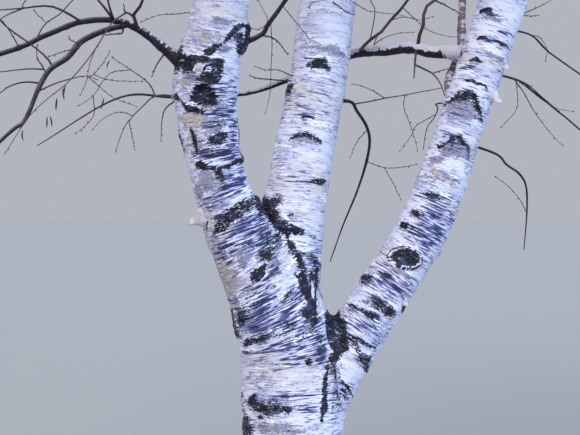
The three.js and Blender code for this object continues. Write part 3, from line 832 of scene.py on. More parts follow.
# The outer bark of a birch: many papery layers, white from the betulin in their cells, which split round
# the stem. Pores show as dark level dashes, and scars and cracks show the corky blue-black bark beneath.
paperyBark = {
    "base": "#E5E7FD", "roughness": 0.6, "bump": 0.0028,
    "marks": {"barkMarks": ("dark", "cork", "peeled"), "barkAgeAndLitTop": ("young", "streak")},
    "grains": {  # steps per metre round the limb and along it, and detail
        "zones": (4, 7, 2),  # patches a quarter of a metre across
        "sheets": (7, 38, 4),  # sheets of paper, 140 mm round and 26 mm tall
        "edges": (16, 85, 3),  # torn edges, 60 mm round and 12 mm tall
        "streaks": (15, 200, 3),  # torn streaks, 33 mm long and 2.5 mm tall where they show
        "dashes": (26, 240, 2),  # pores 20 mm long and 2 mm tall, coarser than life so that they show
        "crumbs": (105, 220, 3),  # ragged crumbs of 5 to 10 mm
        "scraps": (38, 90, 3),  # scraps of paper, 26 mm round and 11 mm tall
    },
    "layers": [  # name, colour, the marks and grains that it follows, the step it fades in over, and more
        ("shaded", "#BFC2E6", {"sheets": 1}, (0.44, 0.62)),
        ("warm", "#DAD5DA", {"zones": 1, "edges": 0.6}, (0.82, 0.96)),
        # painted shadow: a thin dark line round the edges of the paper sheets, as their raised lips would
        # cast
        ("sheet_edge_shadow", "#7A7EB2", {"sheets": 1, "scraps": 0.25}, (0.705, 0.72), {"most": 0.8}),
        ("split", "#F2F3FF", {"sheets": 1, "scraps": 0.25}, (0.72, 0.74)),
        ("peeling", "#6A6470", {"peeled": 1, "scraps": 2.2, "edges": 1.4}, (2.34, 2.38)),
        ("bared", "#A9A09F", {"peeled": 1, "scraps": 2.2, "edges": 1.4}, (2.38, 2.43)),
        ("pale", "#D3CCCB", {"dashes": 1, "edges": 0.5}, (0.71, 0.77), {"within": "bared"}),
        ("cork_grey_and_lit_top", "#9694AC", {"cork": 1, "crumbs": 1.6, "dashes": 0.8, "edges": 0.8}, (2.0, 2.2)),
        ("lined", "#7780C2", {"dashes": 1, "zones": 0.2, "streak": 0.05}, (0.66, 0.72), {"most": 0.7}),
        (
            "dashed", "#3D4993", {"streaks": 1, "dashes": 0.4, "zones": 0.2, "streak": 0.14}, (0.93, 0.97),
            {"most": 0.9},
        ),
        (
            "inked", "#1C2248", {"streaks": 1, "dashes": 0.4, "zones": 0.2, "streak": 0.14}, (0.99, 1.04),
            {"most": 0.9},
        ),
        ("torn", "#13141F", {"dark": 1, "crumbs": 1.7, "streaks": 0.9, "dashes": 0.6}, (2.1, 2.16)),
        ("blued", "#343C66", {"scraps": 1, "dashes": 0.5}, (0.8, 0.88), {"within": "torn"}),
        ("flecked", "#A3A5C6", {"crumbs": 1, "dashes": 0.8}, (1.08, 1.12), {"within": "torn"}),
        ("youthful", "#3C2B33", {"young": 1, "sheets": 0.6}, (0.75, 0.95)),
    ],
    "relief": {
        "sheets": 0.8, "split": 0.3, "edges": 0.5, "bared": -0.3,
        "dashed": -0.3, "torn": -0.4, "crumbs": 0.4,
    },
}

# The thin bark of boughs: smooth and purple-brown, with a painted highlight of lighter grey on the upper
# side, with pale level pores, papery where old.
smoothBark = {
    "base": "#1D1721", "roughness": 0.5, "bump": 0.0012,
    "marks": {"barkAgeAndLitTop": ("white", "foot", "above")},
    "grains": {
        "blotches": (45, 30, 3),  # blotches of 25 mm
        "pores": (140, 420, 2),  # pores 7 mm round and 2.4 mm tall
        "rings": (25, 130, 3),  # wrinkles 8 mm apart
    },
    "layers": [
        # painted highlight: lighter grey where the bough's bark faces up to the sky
        ("cork_grey_and_lit_top", "#776C7E", {"above": 1, "blotches": 0.8}, (0.65, 1.3)),
        ("pored", "#9A8F9C", {"pores": 1}, (0.64, 0.7), {"most": 0.7}),
        ("papery", "#D2CDDC", {"white": 1, "rings": 1.6, "blotches": 1}, (1.8, 1.88)),
        ("dashed", "#2A2430", {"pores": 1}, (0.6, 0.66), {"within": "papery", "most": 0.8}),
        ("collared", "#17151C", {"foot": 1, "rings": 0.8}, (0.95, 1.15)),
    ],
    "relief": {"rings": 1, "pores": 0.4},
}


def startMaterial(name):
    material = bpy.data.materials.new(name)
    material.use_nodes = True
    material.node_tree.nodes.clear()
    return material, material.node_tree


def makeBark(name, look):
    # A limb's bark: colours laid over each other, each where a sum of marks and grains passes a step.
    material, tree = startMaterial(name)
    shader = add(tree, "BsdfPrincipled", {"Roughness": look["roughness"], "Specular IOR Level": 0.3})
    add(tree, "OutputMaterial", {0: shader.outputs[0]})
    space = add(tree, "Attribute", attribute_name="barkSpace").outputs["Vector"]
    found = {}
    for attribute, parts in look["marks"].items():
        vector = add(tree, "Attribute", attribute_name=attribute).outputs["Vector"]
        found.update(zip(parts, add(tree, "SeparateXYZ", {0: vector}).outputs))
    for grainName, (around, along, detail) in look["grains"].items():
        steps = (around, around, along)
        stretched = add(tree, "VectorMath", {0: space, 1: steps}, operation="MULTIPLY").outputs[0]
        inputs = {"Vector": stretched, "Scale": 1.0, "Detail": detail, "Roughness": 0.6}
        found[grainName] = add(tree, "TexNoise", inputs).outputs["Fac"]

    def weigh(weights):
        total = 0.0
        for source, weight in weights.items():
            sumNode = add(tree, "Math", {0: found[source], 1: weight, 2: total}, operation="MULTIPLY_ADD")
            total = sumNode.outputs[0]
        return total

    tone = look["base"]
    for title, code, where, (low, high), *more in look["layers"]:
        more = more[0] if more else {}
        limits = {"Value": weigh(where), "From Min": low, "From Max": high, "To Max": more.get("most", 1.0)}
        share = add(tree, "MapRange", limits, interpolation_type="SMOOTHSTEP").outputs[0]
        if "within" in more:
            share = add(tree, "Math", {0: share, 1: found[more["within"]]}, operation="MULTIPLY").outputs[0]
        found[title] = share
        tone = add(tree, "Mix", {0: share, 6: tone, 7: code}, data_type="RGBA").outputs[2]
    tree.links.new(tone, shader.inputs["Base Color"])
    raised = add(tree, "Bump", {"Height": weigh(look["relief"]), "Strength": 0.6, "Distance": look["bump"]})
    tree.links.new(raised.outputs[0], shader.inputs["Normal"])
    return material


# Small things: a base colour with a second one in patches, steps per metre on Object coordinates.
smallFinishes = {
    "birch twig bark": {"base": "#3A2A33", "second": "#5C4650", "step": 9, "roughness": 0.42},
    "birch bud scale": {"base": "#5A3B2A", "second": "#3C2620", "step": 60, "roughness": 0.4},
    "birch catkin": {"base": "#54392A", "second": "#38261C", "step": 240, "roughness": 0.75},
    "loose birch paper": {"base": "#E6E3F0", "second": "#CFC8D2", "step": 70, "roughness": 0.65},
    "inner birch paper": {"base": "#D9B99C", "second": "#C79A86", "step": 60, "roughness": 0.7},
    "pale studio floor": {"base": "#ADAEB1", "second": "#ADAEB1", "step": 0.4, "roughness": 0.95},
}


def makeSmall(name):
    look = smallFinishes[name]
    material, tree = startMaterial(name)
    place = add(tree, "TexCoord").outputs["Object"]
    noise = add(tree, "TexNoise", {"Vector": place, "Scale": look["step"], "Detail": 2.0}).outputs["Fac"]
    share = add(tree, "MapRange", {"Value": noise, "From Min": 0.4, "From Max": 0.6}).outputs[0]
    tone = add(tree, "Mix", {0: share, 6: look["base"], 7: look["second"]}, data_type="RGBA").outputs[2]
    shader = add(tree, "BsdfPrincipled", {
        "Base Color": tone, "Roughness": look["roughness"], "Specular IOR Level": 0.3,
    })
    add(tree, "OutputMaterial", {0: shader.outputs[0]})
    return material


whiteFinish = makeBark("papery birch bark", paperyBark)
darkFinish = makeBark("smooth bough bark", smoothBark)
small = {name: makeSmall(name) for name in smallFinishes}
print("materials made:", 2 + len(small))


# Shells rolled round a line

def rollUp(name, rings, sides):
    # A flat grid is rolled up round a line's rings, its seam is merged and its ends are filled.
    count = len(rings["radius"])
    bpy.ops.object.select_all(action="DESELECT")
    bpy.ops.mesh.primitive_grid_add(x_subdivisions=sides, y_subdivisions=count - 1, size=1)
    piece = bpy.context.object
    piece.name = piece.data.name = name
    flat = pointsOf(piece)
    row = np.rint((flat[:, 1] + 0.5) * (count - 1)).astype(int)
    angle = ((flat[:, 0] + 0.5) * tau)[:, None]
    out = np.cos(angle) * rings["front"][row] + np.sin(angle) * rings["right"][row]
    setPoints(piece, rings["centre"][row] + out * rings["radius"][row][:, None])
    bpy.ops.object.mode_set(mode="EDIT")
    bpy.ops.mesh.select_all(action="SELECT")
    bpy.ops.mesh.remove_doubles(threshold=1e-5)
    bpy.ops.mesh.fill_holes(sides=0)
    bpy.ops.mesh.normals_make_consistent(inside=False)
    bpy.ops.object.mode_set(mode="OBJECT")
    bpy.ops.object.shade_smooth_by_angle(angle=math.radians(60))
    return piece


def stemRings(side, heights):
    return {what: pick(stems[side], what, heights) for what in ("centre", "radius", "front", "right")}


# The trunk: tubes along the three courses, fused by a voxel remesh and drawn on to one soft-jointed surface

trunkShell = {
    "voxel": 0.0056,
    "sides": 44,
    "rings": 70,
    "overrun": 0.03,  # how far the tubes run past the cuts that end the trunk
    "footEdge": 1e-3,
    "blend": 0.035,  # how softly the stems meet in the crotches
    "settles": 4,
    "smooth": 2,
    "cutReach": {"ground": 0.6, "stem": 0.16},
}


def settle(points, sides):
    # Draws points on to the surface round the stems, which is rounded where two of them meet.
    blend = trunkShell["blend"]
    for _ in range(trunkShell["settles"]):
        total, outward = None, None
        for side in sides:
            found = measure(stems[side], points)
            if total is None:
                total, outward = found["gap"], found["outward"]
                continue
            share = np.clip(0.5 + 0.5 * (found["gap"] - total) / blend, 0, 1)
            total = found["gap"] * (1 - share) + total * share - blend * share * (1 - share)
            outward = unit(found["outward"] * (1 - share)[:, None] + outward * share[:, None])
        points = points - outward * total[:, None]
    return points


def cutOff(piece, origin, normal, near):
    # Cuts off what is past a plane, on the faces within reach of it, and closes the cut.
    centres = np.empty(len(piece.data.polygons) * 3, np.float32)
    piece.data.polygons.foreach_get("center", centres)
    reached = np.linalg.norm(centres.reshape(-1, 3) - origin, axis=1) < near
    only(piece)
    bpy.ops.object.mode_set(mode="EDIT")
    bpy.ops.mesh.select_mode(type="FACE")
    bpy.ops.mesh.select_all(action="DESELECT")
    bpy.ops.object.mode_set(mode="OBJECT")
    piece.data.polygons.foreach_set("select", reached)
    bpy.ops.object.mode_set(mode="EDIT")
    bpy.ops.mesh.bisect(plane_co=origin, plane_no=normal, use_fill=True, clear_outer=True)
    bpy.ops.object.mode_set(mode="OBJECT")


def makeTrunk():
    shell, limbs = trunkShell, []
    for side in stems:
        heights = np.linspace(courses[side][0][0], cuts[side] + shell["overrun"], shell["rings"])
        limbs.append(rollUp("trunk_bark", stemRings(side, heights), shell["sides"]))
    flared = settle(pointsOf(limbs[0]), ("left",))
    flared[flared[:, 2] < shell["footEdge"], 2] = -shell["overrun"]  # cut flat again once the shell is whole
    setPoints(limbs[0], flared)
    only(limbs[0])
    for limb in limbs:
        limb.select_set(True)
    bpy.ops.object.join()
    piece = bpy.context.object
    remesh = piece.modifiers.new("fuse", "REMESH")
    remesh.mode = "VOXEL"
    remesh.voxel_size, remesh.adaptivity = shell["voxel"], 0
    bpy.ops.object.modifier_apply(modifier="fuse")
    setPoints(piece, settle(pointsOf(piece), stems))
    evener = piece.modifiers.new("even", "SMOOTH")
    evener.factor, evener.iterations = 0.5, shell["smooth"]
    bpy.ops.object.modifier_apply(modifier="even")
    setPoints(piece, settle(pointsOf(piece), stems))
    cutOff(piece, np.zeros(3), (0, 0, -1), shell["cutReach"]["ground"])
    for side, height in cuts.items():
        ring = stemRings(side, np.array([height]))
        normal = np.cross(ring["front"][0], ring["right"][0])
        cutOff(piece, ring["centre"][0], normal, shell["cutReach"]["stem"])
    piece.data.polygons.foreach_set("use_smooth", np.ones(len(piece.data.polygons), bool))
    return piece


# The free stems, from the same flat cuts to their tips, finely ringed as far as a near view reaches

stemShell = {"sides": 110, "fineRing": 0.0045, "fineTo": 2.75, "firstRing": 0.008, "lastRing": 0.05}


def makeStem(side):
    shell, top = stemShell, courses[side][-1][0]
    heights = [cuts[side]]
    while heights[-1] < top:
        share = (heights[-1] - shell["fineTo"]) / (top - shell["fineTo"])
        grown = shell["firstRing"] + (shell["lastRing"] - shell["firstRing"]) * share
        heights.append(heights[-1] + (shell["fineRing"] if share < 0 else grown))
    heights[-1] = top
    return rollUp(f"stem_{side}_bark", stemRings(side, np.array(heights)), shell["sides"])


# The boughs: thin dark bark, a collar where they leave the stem, and small knobs where twigs stood

boughShell = {
    "sides": 12,
    "steepest": 0.8,  # a bough that starts more straight to the front than this is ringed from the right
    "start": 0.012,  # how far along a bough comes out of its stem
    "collar": 0.35, "collarLength": 2.4, "forkCollar": 0.4,
    "knob": 0.14, "knobLength": 1.4, "knobEvery": 0.16, "knobShift": 0.37,
    "lump": 0.07, "lumpSteps": (40, 40, 22),  # a share of the radius, and steps per metre
    "crumb": 0.05, "crumbSteps": (150, 150, 60),
    "noiseFrom": 100, "noiseStep": 5,  # each bough has its own stretch of the noises
    "darkFoot": {"middle": 0.015, "reach": 2.2},
    "paperyRadius": {"low": (0.004, 0.01), "crown": (0.012, 0.024)},
}
# How white the tops of low boughs are, how far down their sides that goes, and how far along them it
# is all round or on top. That white is papery bark and also painted light, lit on top over painted shade
# underneath. The upright one gets the lighter grey of the painted top highlight all round too.
whiteTops = {
    "bough_behind_stems": {"most": 1.0, "up": (-0.5, 0.4), "roundTo": (0.13, 0.04)},
    "bough_left_low": {"most": 0.55, "up": (-0.4, 0.5), "topTo": (0.36, 0.2)},
    "bough_right_upright": {"most": 0.42, "grey": 0.7},
}


def whiteOn(bough, top, upward, along, radius):
    # How white a bough is: where it is thick in the crown, and on top of some low boughs, where that white is
    # papery bark and also painted top light over a darker, painted-shade underside.
    if bough["name"] not in lowBoughs:
        return ease(*boughShell["paperyRadius"]["crown"], radius)
    paperAndLitTop = ease(*top["up"], upward) if "up" in top else 1
    if "roundTo" in top:
        paperAndLitTop = np.maximum(paperAndLitTop, ease(*top["roundTo"], along))
    if "topTo" in top:
        paperAndLitTop = paperAndLitTop * ease(*top["topTo"], along)
    return top["most"] * paperAndLitTop * ease(*boughShell["paperyRadius"]["low"], radius)


def makeBough(bough, number):
    shell, top = boughShell, whiteTops.get(bough["name"], {"most": 0})
    centre, radius, along = bough["centre"], bough["radius"], bough["along"]
    tangent = unit(np.gradient(centre, axis=0))
    front = np.empty_like(tangent)
    across = np.array([0, -1, 0]) if abs(tangent[0][1]) < shell["steepest"] else np.array([1, 0, 0])
    for i, way in enumerate(tangent):
        across = unit(across - way * (across @ way))
        front[i] = across
    pastStem = np.maximum(along - shell["start"], 0)
    collar = shell["collar"] * np.exp(-pastStem / (shell["collarLength"] * radius[0]))
    if bough["carrier"] in boughs:
        collar *= shell["forkCollar"]
    every = shell["knobEvery"]
    knobs = np.abs((along / every + number * shell["knobShift"]) % 1 - 0.5) * 2 * every
    swell = 1 + collar + shell["knob"] * np.exp(-((knobs / (shell["knobLength"] * radius)) ** 2))
    rings = {"centre": centre, "radius": radius * swell, "front": front, "right": np.cross(tangent, front)}
    piece = rollUp(f"{bough['name']}_bark", rings, shell["sides"])
    points = pointsOf(piece)
    nearest = np.array([np.argmin(np.sum((centre - point) ** 2, axis=1)) for point in points])
    out = points - centre[nearest]
    outward = unit(out - tangent[nearest] * rowDot(out, tangent[nearest])[:, None])
    radius, along, first = radius[nearest], along[nearest], radius[0]
    space = np.stack([
        rowDot(outward, front[nearest]) * radius,
        rowDot(outward, rings["right"][nearest]) * radius,
        along + shell["noiseFrom"] + number * shell["noiseStep"],
    ], axis=1)
    lump = shell["lump"] * grain(space * shell["lumpSteps"], 7)
    lump += shell["crumb"] * grain(space * shell["crumbSteps"], 8)
    setPoints(piece, points + outward * (radius * lump)[:, None])
    white = whiteOn(bough, top, outward[:, 2], along, radius)
    foot = np.exp(-((along - shell["darkFoot"]["middle"]) / (shell["darkFoot"]["reach"] * first)) ** 2)
    # painted highlight: how far the bark faces up, lit lighter grey by the sky; the upright bough has that
    # grey all round
    above = ease(-0.1, 0.9, outward[:, 2]) + top.get("grey", 0)
    paint(piece, "barkSpace", space)
    paint(piece, "barkAgeAndLitTop", np.stack([white, foot * (1 - top["most"]), above], axis=1))
    return piece


# Twigs: shoots grow from the boughs, twigs from the shoots and fine twigs from those, all by one rule

nearlyUp = np.array([0.03, 0.02, 1.0])  # no twig runs exactly this way, so a cross product with it is safe


def tubes(name, points, radius, sides):
    # Many thin tubes as one mesh, each along its own row of points, closed at both ends.
    count, steps = radius.shape
    tangent = unit(np.gradient(points, axis=1))
    chord = unit(points[:, -1] - points[:, 0])
    side = unit(np.cross(chord, nearlyUp))[:, None]
    first = unit(side - tangent * rowDot(side, tangent)[..., None])
    second = np.cross(tangent, first)
    angle = (np.arange(sides) / sides * tau)[:, None]
    ring = np.cos(angle) * first[:, :, None] + np.sin(angle) * second[:, :, None]
    corners = (points[:, :, None] + ring * radius[:, :, None, None]).reshape(-1, 3)
    base = (np.arange(count) * steps * sides)[:, None, None]
    row, turn = np.arange(steps - 1)[None, :, None] * sides, np.arange(sides)[None, None]
    nextTurn = (turn + 1) % sides
    walls = np.stack([row + turn, row + nextTurn, row + sides + nextTurn, row + sides + turn], axis=-1)
    walls = (base[..., None] + walls).reshape(-1, 4)
    caps = np.arange(sides)
    starts, ends = base[:, 0] + caps[::-1], base[:, 0] + (steps - 1) * sides + caps
    return meshFrom(name, corners, [walls, starts, ends])


def meshFrom(name, points, faceGroups):
    mesh = bpy.data.meshes.new(name)
    corners = np.concatenate([group.ravel() for group in faceGroups]).astype(np.int32)
    sizes = np.concatenate([np.full(len(group), group.shape[1]) for group in faceGroups])
    mesh.vertices.add(len(points))
    mesh.vertices.foreach_set("co", points.astype(np.float32).ravel())
    mesh.loops.add(len(corners))
    mesh.loops.foreach_set("vertex_index", corners)
    mesh.polygons.add(len(sizes))
    mesh.polygons.foreach_set("loop_start", np.concatenate([[0], np.cumsum(sizes)[:-1]]).astype(np.int32))
    mesh.polygons.foreach_set("use_smooth", np.ones(len(sizes), bool))
    mesh.update(calc_edges=True)
    mesh.validate()
    piece = bpy.data.objects.new(name, mesh)
    bpy.context.scene.collection.objects.link(piece)
    return piece


# How many grow from each parent, the share of it that stays bare, the lean from it in degrees, and lengths
# and thicknesses in metres. A length is a share of the parent's, between the two limits.
twigRules = {
    "shoot": {
        "count": 26, "bare": 0.14, "lean": 48, "share": 0.46, "limits": (0.2, 1.15), "thick": 0.0052,
        "tip": 0.0014, "steps": 8, "droop": 0.55, "wander": 0.22, "fullAt": 1.5,
    },
    "twig": {
        "count": 9, "bare": 0.12, "lean": 44, "share": 0.44, "limits": (0.09, 0.46), "thick": 0.0027,
        "tip": 0.0012, "steps": 5, "droop": 0.8, "wander": 0.25, "fullAt": 0.55,
    },
    "fine twig": {
        "count": 4, "bare": 0.2, "lean": 40, "share": 0.48, "limits": (0.05, 0.2), "thick": 0.0018,
        "tip": 0.0011, "steps": 2, "droop": 1.0, "wander": 0.2, "fullAt": 0.16,
    },
}
growth = {
    "seed": 421,
    "points": 12,  # each parent's line is taken as this many points
    "stemsFrom": 3.0, "stemPart": 1.1, "stemBare": 0.2,  # stems carry shoots too, part by part
    "place": (0.1, 0.9),  # where a twig stands within its own stretch
    "turnSpread": 0.75, "aboveShare": 0.8, "leanSpread": 9,
    "length": (1.15, -0.75),  # at the parent's foot, and how that changes up to its tip
    "lengthVaries": (0.6, 1.25), "lastVaries": (0.8, 1.1),
    "fewest": 0.35,  # a short parent keeps at least this share of its children
    "droopByHeight": ((2, 6, 10, 12), (1.25, 1.0, 0.55, 0.2)), "droopCurve": 1.3,
    "thickness": (0.55, 0.45),  # of the shortest, and what the greatest length adds
    "ofParent": 0.7, "taper": 0.8,
    "room": 0.05,  # how far a twig may pass the solids' box
    "lowest": 0.55,
    "clearOfPicture": 4,  # pixels round the picture, where only the shoots that it shows may grow
}


def grow(parents, rule, dice):
    # Children of all the parents at once, left and right in turn, as paths with their radii and lengths.
    points, radius, length = parents
    row, j = np.arange(len(points))[:, None], np.arange(rule["count"])[None]
    place = j + dice.uniform(*growth["place"], (len(points), rule["count"]))
    share = rule["bare"] + (1 - rule["bare"]) * place / rule["count"]
    at = share * (points.shape[1] - 1)
    low = np.minimum(at.astype(int), points.shape[1] - 2)
    t = (at - low)[..., None]
    start = points[row, low] * (1 - t) + points[row, low + 1] * t
    thick = radius[row, low] * (1 - t[..., 0]) + radius[row, low + 1] * t[..., 0]
    way = unit(points[row, low + 1] - points[row, low])
    level = unit(np.cross(way, nearlyUp))
    above = np.cross(level, way)
    turn = j * math.pi + dice.normal(0, growth["turnSpread"], share.shape)
    aside = unit(np.cos(turn)[..., None] * level + growth["aboveShare"] * np.sin(turn)[..., None] * above)
    lean = np.radians(rule["lean"] + dice.normal(0, growth["leanSpread"], share.shape))[..., None]
    heading = unit(np.cos(lean) * way + np.sin(lean) * aside)
    grown = length[:, None] * rule["share"] * (growth["length"][0] + growth["length"][1] * share)
    grown = np.clip(grown * dice.uniform(*growth["lengthVaries"], share.shape), *rule["limits"])
    grown = grown * dice.uniform(*growth["lastVaries"], share.shape)
    keep = dice.uniform(0, 1, share.shape) < np.clip(length / rule["fullAt"], growth["fewest"], 1)[:, None]
    start, heading, grown, thick = start[keep], heading[keep], grown[keep], thick[keep]
    along = np.linspace(0, 1, rule["steps"] + 1)
    droop = rule["droop"] * np.interp(start[:, 2], *growth["droopByHeight"])
    bend = np.zeros((len(start), rule["steps"], 3))
    bend[..., 2] = -droop[:, None] * (along[:-1] + 0.5 / rule["steps"]) ** growth["droopCurve"]
    wander = np.cumsum(dice.normal(0, rule["wander"] / math.sqrt(rule["steps"]), bend.shape), axis=1)
    steps = unit(heading[:, None] + bend + wander) * (grown / rule["steps"])[:, None, None]
    path = np.concatenate([start[:, None], start[:, None] + np.cumsum(steps, axis=1)], axis=1)
    full = growth["thickness"][0] + growth["thickness"][1] * np.clip(grown / rule["limits"][1], 0, 1)
    foot = np.maximum(np.minimum(rule["thick"] * full, thick * growth["ofParent"]), rule["tip"])
    thin = foot[:, None] + (rule["tip"] - foot)[:, None] * along ** growth["taper"]
    inBox = (path > np.array(cadBox[0]) - growth["room"]) & (path < np.array(cadBox[1]) + growth["room"])
    clear = inBox.all(axis=(1, 2)) & (path[..., 2].min(axis=1) > growth["lowest"])
    clear &= ~inPicture(path, growth["clearOfPicture"]).any(axis=1)
    return path[clear], thin[clear], grown[clear]


def evenly(points, radius, count):
    # A line as a given number of points, with their radii and its length.
    length = np.concatenate([[0], np.cumsum(np.linalg.norm(np.diff(points, axis=0), axis=1))])
    at = np.linspace(0, length[-1], count)
    spaced = np.stack([np.interp(at, length, points[:, i]) for i in range(3)], axis=1)
    return spaced, np.interp(at, length, radius), length[-1]


